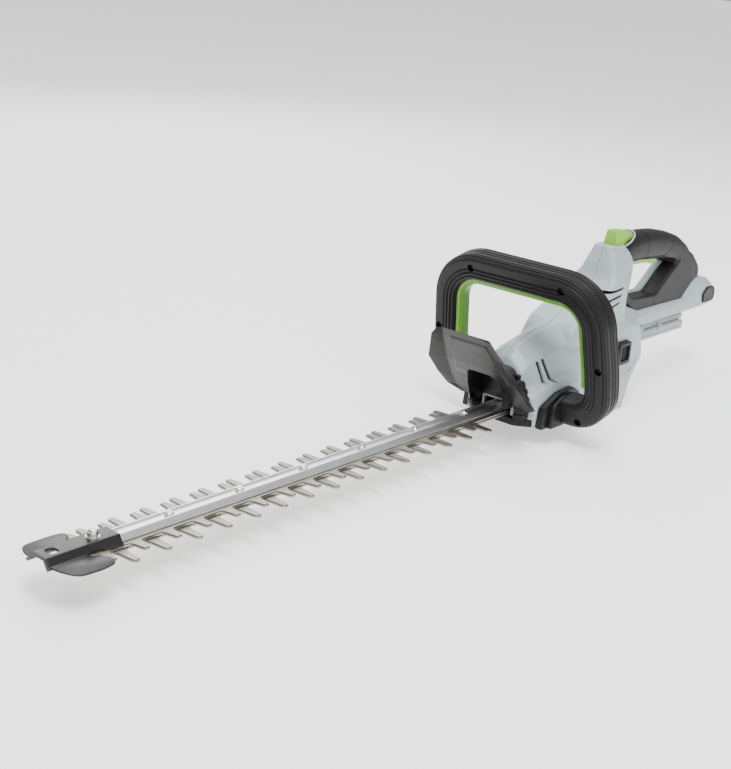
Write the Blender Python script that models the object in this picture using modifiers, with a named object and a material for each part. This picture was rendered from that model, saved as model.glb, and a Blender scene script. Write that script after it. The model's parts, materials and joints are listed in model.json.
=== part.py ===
"""Cordless hedge trimmer, built as separate subcomponents.

Units are metres. In the design frame +X runs from the blade tip to the tail, +Y is the tool's
right side and +Z is up. x = 0 is the first long tooth and z = 0 is the middle of the lower
blade. The frame empty then moves everything so that the origin is under the middle of the tool.
"""

import math

import bmesh
import bpy
from mathutils import Matrix, Vector

# ---------------------------------------------------------------- driving dimensions
TOOTH_PITCH = 0.038
TOOTH_COUNT = 15
LONG_TOOTH_REACH = 0.0427
SHORT_TOOTH_REACH = 0.0335
BLADE_HALF_WIDTH = 0.017
BLADE_THICKNESS = 0.0029
BLADE_FRONT = -0.036
STROKE_HALF = 0.0095
GAP = 0.0003

LOWER_BLADE_Z = -0.0015
UPPER_BLADE_Z = LOWER_BLADE_Z + BLADE_THICKNESS + GAP
RAIL_Z = UPPER_BLADE_Z + BLADE_THICKNESS + GAP
RAIL_HEIGHT = 0.0061
RAIL_BOTTOM_HALF = 0.012
RAIL_TOP_HALF = 0.0068
RAIL_FRONT = -0.018
RAIL_REAR = 0.638
RECESS_HALF = 0.0052
RECESS_DEPTH = 0.002
BLADE_NUT_HEIGHT = 0.0034
NOSE_NUT_HEIGHT = 0.0078
NOSE_TOP_Z = 0.0134

BOLT_RADIUS = 0.0024
BOLT_HEAD_RADIUS = 0.0045
BOLT_HEAD_HEIGHT = 0.0027
NUT_RADIUS = 0.0042
NOSE_BOLT_X = -0.017
BLADE_BOLT_X = tuple(0.0735 + 0.0921 * k for k in range(6))
SLOT_HALF_LENGTH = STROKE_HALF + BOLT_RADIUS + 0.0008
SLOT_HALF_WIDTH = BOLT_RADIUS + 0.0004

GEAR_X = 0.672
GEAR_MODULE = 0.0015
GEAR_TEETH = 40
PINION_TEETH = 10
GEAR_BOTTOM = RAIL_Z + GAP
GEAR_TOP = GEAR_BOTTOM + 0.008
PINION_X = GEAR_X + GEAR_MODULE * (GEAR_TEETH + PINION_TEETH) / 2
AXLE_RADIUS = 0.004
RUNNING_GAP = 0.00006
CAM_RADIUS = 0.016
YOKE_CLEARANCE = 0.0022
YOKE_WALL = 0.005

CASE_BOTTOM = GEAR_TOP + 0.0006
CASE_TOP = CASE_BOTTOM + 0.005
MOTOR_RADIUS = 0.026
MOTOR_BORE = 0.0145
MOTOR_TOP = 0.060
SHAFT_RADIUS = 0.0025
FAN_RADIUS = 0.024

WALL = 0.0025
COVER_BOTTOM = -0.013
COVER_TOP = -0.0031
POD_REAR = 0.716
POD_HALF = 0.050
BRACKET_OUTER = 0.0652

LOOP_TILT = math.radians(12.15)
LOOP_BASE_X = 0.6427
LOOP_HALF_BAR = 0.0162
LOOP_DEPTH = 0.036
LOOP_ROUND = 0.0095
LOOP_SCREW_RADIUS = 0.0041
LOOP_SCREW_DEPTH = (0.0030, 0.0077)
LOOP_START_Y = BRACKET_OUTER + GAP
BAIL_TRAVEL = 0.004
BAIL_INNER_PROUD = 0.0070
BAIL_EMBED = 0.0045
BAIL_NEAR = 0.009
BAIL_FAR = 0.026
BAIL_END_UP = 0.0455

GRIP_HALF = 0.018
GRIP_ROUND = 0.011
RISER_REAR_X = 0.862

BUTTON_X = (0.8185, 0.8615)
BUTTON_Z = (0.1765, 0.1975)
BUTTON_WELL_FLOOR = 0.168
BUTTON_SIDE_GAP = 0.0006
TRIGGER_PIVOT = (0.8735, 0.1600)
TRIGGER_HALF = 0.0062
TRIGGER_PIN_RADIUS = 0.002

RELEASE_X = (0.799, 0.829)
RELEASE_Z = (0.028, 0.058)

DOCK_X = (0.872, 1.004)
DOCK_FLANGE_HALF = 0.026
DOCK_NECK_HALF = 0.0205
DOCK_FLANGE_Z = (0.0410, 0.0545)
ARM_BOTTOM = 0.0640

TAIL_X = 1.104
NOSE_X = -0.077
FLOOR_Z = -0.034
FRAME_SHIFT = (-(TAIL_X + NOSE_X) / 2, 0.0, -FLOOR_Z)

OBJECT_NAME = "hedge_trimmer"


# ---------------------------------------------------------------- scene and helpers
def clear_scene():
    """Remove every object that is in the file."""
    for obj in list(bpy.data.objects):
        bpy.data.objects.remove(obj, do_unlink=True)


def make_collection(name):
    """Add a collection to the scene."""
    collection = bpy.data.collections.new(name)
    bpy.context.scene.collection.children.link(collection)
    return collection


clear_scene()
PARTS = make_collection(OBJECT_NAME)
CUTTERS = make_collection(OBJECT_NAME + "_cutters")


def make_empty(name, location, parent=None):
    """An empty that carries a group of parts."""
    empty = bpy.data.objects.new(name, None)
    empty.location = location
    empty.parent = parent
    empty.empty_display_size = 0.02
    PARTS.objects.link(empty)
    return empty


FRAME = make_empty("trimmer_frame", FRAME_SHIFT)


def principled(name, color, roughness, metallic=0.0):
    """A Principled material with one colour."""
    material = bpy.data.materials.new(name)
    material.use_nodes = True
    shader = material.node_tree.nodes["Principled BSDF"]
    shader.inputs["Base Color"].default_value = (*color, 1.0)
    shader.inputs["Roughness"].default_value = roughness
    shader.inputs["Metallic"].default_value = metallic
    return material


GREY_PLASTIC = principled("grey_plastic", (0.48, 0.54, 0.56), 0.42)
BLACK_PLASTIC = principled("black_plastic", (0.025, 0.025, 0.027), 0.45)
BLACK_RUBBER = principled("black_rubber", (0.03, 0.03, 0.03), 0.62)
GREEN_PLASTIC = principled("green_plastic", (0.18, 0.38, 0.05), 0.40)
DARK_STEEL = principled("dark_steel", (0.03, 0.03, 0.032), 0.5, 0.6)
BLADE_STEEL = principled("blade_steel", (0.33, 0.32, 0.29), 0.33, 1.0)
ALUMINIUM = principled("aluminium", (0.72, 0.73, 0.74), 0.25, 1.0)
ZINC = principled("zinc_plate", (0.70, 0.69, 0.65), 0.30, 1.0)
COPPER = principled("winding_copper", (0.60, 0.28, 0.14), 0.35, 1.0)
BOARD_GREEN = principled("circuit_board", (0.03, 0.16, 0.08), 0.5)


def adopt(obj, parent, pivot=(0.0, 0.0, 0.0)):
    """Parent an object modelled in the design frame to an empty that stands at pivot."""
    obj.parent = parent
    obj.matrix_parent_inverse = Matrix.Translation(-Vector(pivot))


def finish(name, bm, material, matrix=Matrix.Identity(4)):
    """Turn a bmesh into an object of the design frame, with outward faces."""
    bmesh.ops.transform(bm, matrix=matrix, verts=bm.verts)
    bmesh.ops.remove_doubles(bm, verts=bm.verts, dist=1e-6)
    bmesh.ops.recalc_face_normals(bm, faces=bm.faces)
    mesh = bpy.data.meshes.new(name)
    bm.to_mesh(mesh)
    bm.free()
    mesh.shade_smooth()
    mesh.set_sharp_from_angle(angle=math.radians(35))
    obj = bpy.data.objects.new(name, mesh)
    if material is None:
        CUTTERS.objects.link(obj)
        obj.hide_render = True
        obj.display_type = "WIRE"
    else:
        PARTS.objects.link(obj)
        mesh.materials.append(material)
    adopt(obj, FRAME)
    return obj


def box(name, low, high, material=None):
    """A block between two corners."""
    bm = bmesh.new()
    bmesh.ops.create_cube(bm, size=1.0)
    low, high = Vector(low), Vector(high)
    size = high - low
    matrix = Matrix.Translation((low + high) / 2) @ Matrix.Diagonal((*size, 1.0))
    return finish(name, bm, material, matrix)


AXIS_TURN = {
    "X": Matrix.Rotation(math.pi / 2, 4, "Y"),
    "Y": Matrix.Rotation(-math.pi / 2, 4, "X"),
    "Z": Matrix.Identity(4),
}


def cylinder(name, start, length, radius, axis="Z", material=None, segments=32):
    """A cylinder that starts at a point and runs along an axis."""
    bm = bmesh.new()
    bmesh.ops.create_cone(
        bm, cap_ends=True, segments=segments, radius1=radius, radius2=radius, depth=length
    )
    matrix = Matrix.Translation(start) @ AXIS_TURN[axis] @ Matrix.Translation((0, 0, length / 2))
    return finish(name, bm, material, matrix)


TOP_VIEW = Matrix.Identity(4)
SIDE_VIEW = Matrix(((1, 0, 0, 0), (0, 0, 1, 0), (0, 1, 0, 0), (0, 0, 0, 1)))
FRONT_VIEW = Matrix(((0, 0, 1, 0), (1, 0, 0, 0), (0, 1, 0, 0), (0, 0, 0, 1)))
LOOP_VIEW = Matrix((
    (0, -math.sin(LOOP_TILT), math.cos(LOOP_TILT), LOOP_BASE_X),
    (1, 0, 0, 0),
    (0, math.cos(LOOP_TILT), math.sin(LOOP_TILT), 0),
    (0, 0, 0, 1),
))


def mesh_of_curve(name, curve, material, matrix):
    """The solid that a curve makes, as a mesh object with its caps welded on."""
    temporary = bpy.data.objects.new(name + "_curve", curve)
    bpy.context.scene.collection.objects.link(temporary)
    graph = bpy.context.evaluated_depsgraph_get()
    mesh = bpy.data.meshes.new_from_object(temporary.evaluated_get(graph))
    bm = bmesh.new()
    bm.from_mesh(mesh)
    bpy.data.meshes.remove(mesh)
    bpy.data.objects.remove(temporary, do_unlink=True)
    return finish(name, bm, material, matrix)


def plate(name, outlines, low, high, view=TOP_VIEW, material=None):
    """A flat outline, with any holes, extruded from low to high along the view's third axis."""
    curve = bpy.data.curves.new(name + "_outline", "CURVE")
    curve.dimensions = "2D"
    curve.fill_mode = "BOTH"
    curve.extrude = (high - low) / 2
    for outline in outlines:
        spline = curve.splines.new("POLY")
        spline.points.add(len(outline) - 1)
        spline.use_cyclic_u = True
        for point, (a, b) in zip(spline.points, outline):
            point.co = (a, b, 0.0, 1.0)
    return mesh_of_curve(name, curve, material, view @ Matrix.Translation((0, 0, (low + high) / 2)))


def loft(name, rings, material=None):
    """A closed solid through rings that each hold the same number of points."""
    bm = bmesh.new()
    loops = [[bm.verts.new(point) for point in ring] for ring in rings]
    for ring, following in zip(loops, loops[1:]):
        for i in range(len(ring)):
            j = (i + 1) % len(ring)
            bm.faces.new((ring[i], ring[j], following[j], following[i]))
    bm.faces.new(loops[0])
    bm.faces.new(loops[-1])
    return finish(name, bm, material)


def turned(name, profile, centre, material=None, steps=32):
    """A turned solid about a vertical axis: a ring, or a disc where the profile ends on the axis."""
    mesh = bpy.data.meshes.new(name)
    points = [(radius, 0.0, height) for radius, height in profile]
    edge_count = len(points) - (1 if points[0][0] == 0 else 0)
    closing = [(i, (i + 1) % len(points)) for i in range(edge_count)]
    mesh.from_pydata(points, closing, [])
    obj = bpy.data.objects.new(name, mesh)
    screw = obj.modifiers.new("turn", "SCREW")
    screw.steps = steps
    screw.render_steps = steps
    screw.use_merge_vertices = True
    screw.merge_threshold = 0.00001
    bpy.context.scene.collection.objects.link(obj)
    graph = bpy.context.evaluated_depsgraph_get()
    bm = bmesh.new()
    bm.from_mesh(obj.evaluated_get(graph).to_mesh())
    bpy.data.objects.remove(obj, do_unlink=True)
    return finish(name, bm, material, Matrix.Translation(centre))


def coil(name, centre, radius, wire_radius, height, turns, material):
    """An upright coil spring of round wire, standing on centre."""
    steps = 10 * turns
    curve = bpy.data.curves.new(name + "_wire", "CURVE")
    curve.dimensions = "3D"
    curve.bevel_depth = wire_radius
    curve.bevel_resolution = 1
    curve.use_fill_caps = True
    spline = curve.splines.new("POLY")
    spline.points.add(steps)
    rise = height - 2 * wire_radius
    for i, point in enumerate(spline.points):
        angle = 2 * math.pi * i / 10
        point.co = (radius * math.cos(angle), radius * math.sin(angle), wire_radius + rise * i / steps, 1)
    return mesh_of_curve(name, curve, material, Matrix.Translation(centre))


def boolean(obj, other, operation="DIFFERENCE"):
    """Cut, join or intersect obj with another solid, which stays hidden."""
    modifier = obj.modifiers.new(operation.lower(), "BOOLEAN")
    modifier.operation = operation
    modifier.solver = "EXACT"
    modifier.object = other


def bevel(obj, width, segments=2, angle=35):
    """Round the sharp edges of an object."""
    modifier = obj.modifiers.new("bevel", "BEVEL")
    modifier.width = width
    modifier.segments = segments
    modifier.limit_method = "ANGLE"
    modifier.angle_limit = math.radians(angle)


def arc(centre, radius, start, end, count):
    """Points along an arc, with angles in degrees."""
    step = (end - start) / (count - 1)
    angles = [math.radians(start + step * i) for i in range(count)]
    return [(centre[0] + radius * math.cos(a), centre[1] + radius * math.sin(a)) for a in angles]


def rounded_path(corners, radii, count=6):
    """A polyline whose inner corners are replaced by arcs of the given radii."""
    path = [tuple(corners[0])]
    for before, corner, after, radius in zip(corners, corners[1:], corners[2:], radii):
        corner = Vector(corner)
        inward = (Vector(before) - corner).normalized()
        outward = (Vector(after) - corner).normalized()
        half_angle = inward.angle(outward) / 2
        middle = corner + (inward + outward).normalized() * radius / math.sin(half_angle)
        start = corner + inward * radius / math.tan(half_angle) - middle
        end = corner + outward * radius / math.tan(half_angle) - middle
        sweep = start.angle_signed(end)
        steps = count if abs(sweep) > 0.3 else 2
        for i in range(steps + 1):
            turn = Matrix.Rotation(-sweep * i / steps, 2)
            path.append(tuple(middle + turn @ start))
    path.append(tuple(corners[-1]))
    return path


def rounded_outline(corners, radius, count=3):
    """A closed outline with every corner rounded to one radius."""
    start = (Vector(corners[0]) + Vector(corners[-1])) / 2
    path = rounded_path([start, *corners, start], [radius] * len(corners), count)
    return path[:-1]


def offset_path(path, distance):
    """An open path moved sideways, to its left where distance is positive."""
    moved = []
    for i, point in enumerate(path):
        before = Vector(path[max(i - 1, 0)])
        after = Vector(path[min(i + 1, len(path) - 1)])
        along = (after - before).normalized()
        moved.append((point[0] - along.y * distance, point[1] + along.x * distance))
    return moved


def band(path, left, right):
    """A closed outline that follows a path, from left to right of it."""
    return offset_path(path, left) + offset_path(path, -right)[::-1]


def mirrored(half):
    """A left-right symmetric outline from its +a half, listed bottom to top."""
    return half + [(-a, b) for a, b in reversed(half)]


# ---------------------------------------------------------------- blades
def tooth_outline(half):
    """One tooth, from its front root to its rear root, as (x, y) about its middle."""
    return [(-x, y) for x, y in half] + [(x, y) for x, y in reversed(half)]


LONG_TOOTH = tooth_outline([(0.0085, BLADE_HALF_WIDTH), (0.0056, 0.0215), (0.0042, 0.0385)]
                           + arc((0, 0.0385), 0.0042, 20, 70, 3))
SHORT_TOOTH = tooth_outline([(0.0080, BLADE_HALF_WIDTH), (0.0053, 0.0215),
                             (0.0036, SHORT_TOOTH_REACH - 0.0008), (0.0028, SHORT_TOOTH_REACH)])


def blade_outline(tooth, first_x):
    """A blade's outline: its toothed bar, neck and yoke."""
    upper_edge = [(BLADE_FRONT + 0.004, BLADE_HALF_WIDTH - 0.004)]
    for k in range(TOOTH_COUNT):
        upper_edge += [(first_x + k * TOOTH_PITCH + x, y) for x, y in tooth]
    yoke_half_x = CAM_RADIUS + YOKE_CLEARANCE + YOKE_WALL
    yoke_half_y = CAM_RADIUS + STROKE_HALF + YOKE_WALL
    upper_edge += [
        (GEAR_X - yoke_half_x - 0.012, BLADE_HALF_WIDTH),
        (GEAR_X - yoke_half_x, BLADE_HALF_WIDTH + 0.008),
        (GEAR_X - yoke_half_x + 0.006, yoke_half_y),
        (GEAR_X + yoke_half_x - 0.006, yoke_half_y),
        (GEAR_X + yoke_half_x, yoke_half_y - 0.006),
    ]
    upper_edge.insert(0, (BLADE_FRONT, BLADE_HALF_WIDTH - 0.010))
    return upper_edge + [(x, -y) for x, y in reversed(upper_edge)]


def slot_outline(x):
    """A lengthwise slot with round ends for one bolt."""
    straight = SLOT_HALF_LENGTH - SLOT_HALF_WIDTH
    front = arc((x - straight, 0), SLOT_HALF_WIDTH, 90, 270, 5)
    rear = arc((x + straight, 0), SLOT_HALF_WIDTH, -90, 90, 5)
    return front + rear


def yoke_slot():
    """The opening that the cam turns in, wide enough for a half-turn at a constant ratio."""
    half_x = CAM_RADIUS + YOKE_CLEARANCE
    half_y = CAM_RADIUS + STROKE_HALF + 0.0006
    corners = [(GEAR_X - half_x, -half_y), (GEAR_X + half_x, -half_y),
               (GEAR_X + half_x, half_y), (GEAR_X - half_x, half_y)]
    return rounded_outline(corners, 0.006)


def make_blade(name, tooth, first_x, bottom):
    """One toothed blade with its bolt slots."""
    slots = [slot_outline(x) for x in (NOSE_BOLT_X, *BLADE_BOLT_X)]
    outlines = [blade_outline(tooth, first_x), *slots, yoke_slot()]
    return plate(name, outlines, bottom, bottom + BLADE_THICKNESS, material=BLADE_STEEL)


def make_rail():
    """The trapezoid guide bar with its lengthwise recess and bolt holes."""
    top = RAIL_Z + RAIL_HEIGHT
    half = [(RAIL_BOTTOM_HALF, RAIL_Z), (RAIL_BOTTOM_HALF, RAIL_Z + 0.001), (RAIL_TOP_HALF, top),
            (RECESS_HALF, top), (RECESS_HALF - 0.0006, top - RECESS_DEPTH)]
    rail = plate("guide_rail", [mirrored(half)], RAIL_FRONT, RAIL_REAR, FRONT_VIEW, ALUMINIUM)
    for i, x in enumerate((NOSE_BOLT_X, *BLADE_BOLT_X)):
        hole = cylinder(f"rail_hole_{i}", (x, 0, RAIL_Z - 0.005), 0.02, BOLT_RADIUS + GAP, segments=16)
        boolean(rail, hole)


def make_bolt(name, x, nut_bottom, nut_height):
    """A blade bolt with its head below the lower blade and its nut above the rail."""
    head_top = LOWER_BLADE_Z - GAP
    nut_top = nut_bottom + nut_height
    profile = [
        (0.0, nut_top),
        (NUT_RADIUS, nut_top),
        (NUT_RADIUS, nut_bottom),
        (BOLT_RADIUS, nut_bottom),
        (BOLT_RADIUS, head_top),
        (BOLT_HEAD_RADIUS, head_top),
        (BOLT_HEAD_RADIUS * 0.8, head_top - BOLT_HEAD_HEIGHT),
        (0.0, head_top - BOLT_HEAD_HEIGHT),
    ]
    turned(name, profile, (x, 0, 0), ZINC, steps=16)


def make_nose_bracket():
    """The folded steel nose: a hat section with two side wings and a round hole."""
    rail_top = RAIL_Z + RAIL_HEIGHT
    wing_bottom = RAIL_Z + 0.0001
    wing_top = wing_bottom + 0.002
    outer = [(0.0152, wing_bottom), (0.0108, NOSE_TOP_Z)]
    inner = [(0.0130, wing_bottom), (0.0083, rail_top + GAP)]
    section = outer + [(-y, z) for y, z in reversed(outer)] + [(-y, z) for y, z in inner]
    section += list(reversed(inner))
    bracket = plate("nose_bracket", [section], NOSE_X, 0.0057, FRONT_VIEW, DARK_STEEL)
    wing_half = [(-0.074, 0.0), (-0.072, 0.026), (-0.064, 0.0385), (-0.056, 0.041), (-0.034, 0.041),
                 (-0.026, 0.0385), (-0.021, 0.026), (-0.020, 0.0)]
    rail_space = [(RAIL_FRONT - 0.004, -0.0136), (0.02, -0.0136), (0.02, 0.0136),
                  (RAIL_FRONT - 0.004, 0.0136)]
    wing = plate("nose_wing", [wing_half[:-1] + [(x, -y) for x, y in reversed(wing_half[:-1])]],
                 wing_bottom, wing_top)
    space = plate("nose_rail_space", [rail_space], 0.0, rail_top + GAP)
    boolean(wing, space)
    boolean(bracket, wing, "UNION")
    hole = cylinder("nose_hole", (-0.062, 0, 0.0), 0.03, 0.005, segments=24)
    boolean(bracket, hole)
    bolt_hole = cylinder("nose_bolt_hole", (NOSE_BOLT_X, 0, 0.0), 0.03, BOLT_RADIUS + GAP, segments=16)
    boolean(bracket, bolt_hole)


def make_cutting_bar():
    """Blades, rail, bolts and nose."""
    upper = make_blade("upper_blade", SHORT_TOOTH, -TOOTH_PITCH / 2, UPPER_BLADE_Z)
    lower = make_blade("lower_blade", LONG_TOOTH, 0.0, LOWER_BLADE_Z)
    adopt(upper, make_empty("upper_blade_slide", (GEAR_X, 0, UPPER_BLADE_Z), FRAME),
          (GEAR_X, 0, UPPER_BLADE_Z))
    adopt(lower, make_empty("lower_blade_slide", (GEAR_X, 0, LOWER_BLADE_Z), FRAME),
          (GEAR_X, 0, LOWER_BLADE_Z))
    make_rail()
    floor = RAIL_Z + RAIL_HEIGHT - RECESS_DEPTH + GAP
    for i, x in enumerate(BLADE_BOLT_X):
        make_bolt(f"blade_bolt_{i + 1}", x, floor, BLADE_NUT_HEIGHT)
    make_bolt("nose_bolt", NOSE_BOLT_X, NOSE_TOP_Z + GAP, NOSE_NUT_HEIGHT)
    make_nose_bracket()


# ---------------------------------------------------------------- drive
def gear_outline(teeth, addendum, dedendum, root_share, tip_share, phase=0.0):
    """A spur gear with straight-sided teeth that taper from root to tip."""
    pitch_radius = GEAR_MODULE * teeth / 2
    tip_radius = pitch_radius + addendum * GEAR_MODULE
    root_radius = pitch_radius - dedendum * GEAR_MODULE
    pitch_angle = 2 * math.pi / teeth
    points = []
    for k in range(teeth):
        middle = k * pitch_angle + phase
        for radius, offset in ((root_radius, -root_share), (tip_radius, -tip_share),
                               (tip_radius, tip_share), (root_radius, root_share)):
            angle = middle + offset * pitch_angle
            points.append((radius * math.cos(angle), radius * math.sin(angle)))
    return points


def moved_outline(points, x, y=0.0):
    """An outline moved to a place."""
    return [(a + x, b + y) for a, b in points]


def make_drive_gear(hub):
    """The spur gear and the two cams that push the blades opposite ways."""
    hole = arc((GEAR_X, 0), AXLE_RADIUS + RUNNING_GAP, 0, 345, 24)
    teeth = moved_outline(gear_outline(GEAR_TEETH, 0.75, 1.15, 0.29, 0.12), GEAR_X)
    pieces = [plate("drive_gear", [teeth, hole], GEAR_BOTTOM, GEAR_TOP, material=DARK_STEEL)]
    for name, offset, bottom in (("upper_cam", STROKE_HALF, UPPER_BLADE_Z),
                                 ("lower_cam", -STROKE_HALF, LOWER_BLADE_Z)):
        rim = arc((GEAR_X, offset), CAM_RADIUS, 0, 352.5, 48)
        pieces.append(plate(name, [rim, hole], bottom, bottom + BLADE_THICKNESS, material=ZINC))
    for piece in pieces:
        adopt(piece, hub, (GEAR_X, 0, 0))


def make_rotor(hub):
    """The motor's shaft, pinion, core and cooling fan."""
    core_bottom = CASE_TOP + 0.004
    shaft = cylinder("rotor_shaft", (PINION_X, 0, GEAR_BOTTOM), 0.066, SHAFT_RADIUS, segments=24,
                     material=BLADE_STEEL)
    bore = arc((PINION_X, 0), SHAFT_RADIUS + GAP, 0, 345, 24)
    half_tooth = math.pi / PINION_TEETH
    teeth = gear_outline(PINION_TEETH, 0.75, 1.15, 0.29, 0.11, math.pi + half_tooth)
    pinion = plate("pinion", [moved_outline(teeth, PINION_X), bore], GEAR_BOTTOM, GEAR_TOP,
                   material=BLADE_STEEL)
    core = plate("rotor_core", [arc((PINION_X, 0), 0.0138, 0, 348.75, 32), bore],
                 core_bottom, MOTOR_TOP - 0.004, material=DARK_STEEL)
    fan_bottom = MOTOR_TOP + 0.0045
    blades = []
    for k in range(9):
        middle = 40.0 * k
        blades += arc((PINION_X, 0), 0.008, middle - 14, middle - 10, 2)
        blades += arc((PINION_X, 0), FAN_RADIUS, middle - 8, middle + 8, 3)
        blades += arc((PINION_X, 0), 0.008, middle + 10, middle + 14, 2)
    fan = plate("cooling_fan", [blades, bore], fan_bottom, fan_bottom + 0.006, material=BLACK_PLASTIC)
    for piece in (shaft, pinion, core, fan):
        adopt(piece, hub, (PINION_X, 0, 0))


def make_gearbox():
    """The die-cast plate that carries the gear's axle, the rail and the motor."""
    corners = [(0.612, -0.020), (0.626, -0.030), (0.735, -0.030), (0.735, 0.030), (0.626, 0.030),
               (0.612, 0.020)]
    axle_hole = arc((GEAR_X, 0), AXLE_RADIUS + GAP, 0, 345, 24)
    shaft_hole = arc((PINION_X, 0), 0.0093, 0, 345, 24)
    case = plate("gearbox_case", [corners, axle_hole, shaft_hole], CASE_BOTTOM, CASE_TOP,
                 material=ALUMINIUM)
    rail_top = RAIL_Z + RAIL_HEIGHT
    pad = box("gearbox_pad", (0.612, -0.011, rail_top + GAP), (0.636, 0.011, CASE_BOTTOM + 0.001))
    boolean(case, pad, "UNION")
    cylinder("gear_axle", (GEAR_X, 0, COVER_TOP + GAP), CASE_TOP - COVER_TOP - GAP, AXLE_RADIUS,
             segments=24, material=BLADE_STEEL)
    bearing = [(0.009, CASE_TOP), (0.009, CASE_BOTTOM), (SHAFT_RADIUS + RUNNING_GAP, CASE_BOTTOM),
               (SHAFT_RADIUS + RUNNING_GAP, CASE_TOP)]
    turned("shaft_bearing", bearing, (PINION_X, 0, 0), BLADE_STEEL, steps=24)
    stator = [(MOTOR_RADIUS, MOTOR_TOP), (MOTOR_RADIUS, CASE_TOP + GAP), (MOTOR_BORE, CASE_TOP + GAP),
              (MOTOR_BORE, MOTOR_TOP)]
    turned("motor_stator", stator, (PINION_X, 0, 0), COPPER)
    cap = [(MOTOR_RADIUS, MOTOR_TOP + 0.0033), (MOTOR_RADIUS, MOTOR_TOP + GAP),
           (SHAFT_RADIUS + RUNNING_GAP, MOTOR_TOP + GAP),
           (SHAFT_RADIUS + RUNNING_GAP, MOTOR_TOP + 0.0033)]
    turned("motor_end_cap", cap, (PINION_X, 0, 0), ALUMINIUM, steps=24)


def make_bottom_cover():
    """The black cover under the gearbox."""
    corners = [(0.600, -0.028), (0.614, -0.046), (0.704, -0.046), (0.704, 0.046), (0.614, 0.046),
               (0.600, 0.028)]
    cover = plate("bottom_cover", [rounded_outline(corners, 0.004)], COVER_BOTTOM, COVER_TOP,
                  material=BLACK_PLASTIC)
    bevel(cover, 0.002, 1)


def make_drive():
    """Gearbox, motor and everything that turns."""
    make_drive_gear(make_empty("drive_gear_axis", (GEAR_X, 0, 0), FRAME))
    make_rotor(make_empty("rotor_axis", (PINION_X, 0, 0), FRAME))
    make_gearbox()
    make_bottom_cover()


# ---------------------------------------------------------------- housing
def body_ring(x, half, low, high, top_cut, bottom_cut):
    """An eight-sided section across the tool."""
    side_high = high - top_cut
    return [
        (x, half - bottom_cut, low), (x, half, low + bottom_cut), (x, half, side_high),
        (x, half - top_cut * 1.1, high), (x, -half + top_cut * 1.1, high), (x, -half, side_high),
        (x, -half, low + bottom_cut), (x, -half + bottom_cut, low),
    ]


BODY_STATIONS = [
    # x, half width, bottom, top, top corner, bottom corner
    (0.6045, 0.025, -0.0028, 0.050, 0.012, 0.002),
    (0.6080, 0.030, -0.0028, 0.065, 0.013, 0.002),
    (0.6190, 0.033, -0.0028, 0.0785, 0.014, 0.002),
    (0.6600, 0.035, -0.0028, 0.0885, 0.015, 0.002),
    (0.7000, 0.0365, -0.0028, 0.0955, 0.016, 0.002),
    (0.7160, 0.040, -0.0120, 0.0970, 0.018, 0.006),
    (0.7400, 0.046, -0.0280, 0.096, 0.020, 0.012),
    (0.7800, 0.049, FLOOR_Z, 0.098, 0.022, 0.014),
    (0.8300, 0.049, FLOOR_Z, 0.098, 0.022, 0.014),
    (0.8480, 0.047, -0.0100, 0.096, 0.022, 0.014),
    (0.8660, 0.043, 0.0180, 0.088, 0.020, 0.010),
    (0.8695, 0.041, 0.0240, 0.084, 0.018, 0.008),
]
RISER_STATIONS = [
    # z, front x, rear x, half width, corner
    (0.0720, 0.6860, 0.8680, 0.0380, 0.007),
    (0.0970, 0.7030, 0.8610, 0.0360, 0.007),
    (0.1060, 0.7220, RISER_REAR_X, 0.0350, 0.007),
    (0.1260, 0.7790, RISER_REAR_X, 0.0340, 0.007),
    (0.1390, 0.7905, 0.8630, 0.0330, 0.007),
    (0.1470, 0.7940, 0.8640, 0.0265, 0.006),
    (0.1560, 0.7965, 0.8640, 0.0240, 0.006),
    (0.1783, 0.8055, 0.8370, 0.0160, 0.005),
]
ARM_STATIONS = [
    (0.8500, 0.0240, 0.0560, 0.0960, 0.004, 0.003),
    (0.8840, 0.0240, ARM_BOTTOM - 0.001, 0.0840, 0.004, 0.003),
    (1.0060, 0.0240, ARM_BOTTOM, 0.0840, 0.004, 0.003),
    (1.0380, 0.0240, ARM_BOTTOM, 0.1080, 0.006, 0.003),
    (1.0500, 0.0240, ARM_BOTTOM, 0.1095, 0.007, 0.003),
    (1.0800, 0.0235, ARM_BOTTOM + 0.001, 0.1020, 0.008, 0.003),
    (1.0960, 0.0220, ARM_BOTTOM + 0.002, 0.0930, 0.008, 0.003),
    (TAIL_X, 0.0190, ARM_BOTTOM + 0.004, 0.0820, 0.004, 0.003),
]


def riser_ring(z, front, rear, half, corner):
    """An eight-sided level section of the riser."""
    return [
        (front, -half + corner, z), (front + corner, -half, z), (rear - corner, -half, z),
        (rear, -half + corner, z), (rear, half - corner, z), (rear - corner, half, z),
        (front + corner, half, z), (front, half - corner, z),
    ]


def housing_solids(name, inset):
    """The body, riser, arm and handle pods, with every outer face moved in by inset."""
    body = [body_ring(x, w - inset, lo + inset, hi - inset, ct, cb)
            for x, w, lo, hi, ct, cb in BODY_STATIONS]
    body[0] = [(x + inset, y, z) for x, y, z in body[0]]
    body[-1] = [(x - inset, y, z) for x, y, z in body[-1]]
    riser = [riser_ring(z, front + inset, rear - inset, w - inset, corner)
             for z, front, rear, w, corner in RISER_STATIONS]
    riser[-1] = [(x, y, z - inset) for x, y, z in riser[-1]]
    arm = [body_ring(x, w - inset, lo + inset, hi - inset, ct, cb)
           for x, w, lo, hi, ct, cb in ARM_STATIONS]
    arm[-1] = [(x - inset, y, z) for x, y, z in arm[-1]]
    top_half = POD_HALF - 0.014
    pod = [(POD_HALF - inset, -0.0028 + inset), (POD_HALF - inset, 0.019 - inset / 2),
           (top_half - inset, 0.036 - inset)]
    pods = plate(name + "_pods", [mirrored(pod)], 0.610 + inset, POD_REAR - inset, FRONT_VIEW)
    return [loft(name + "_body", body), loft(name + "_riser", riser), loft(name + "_arm", arm), pods]


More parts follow.
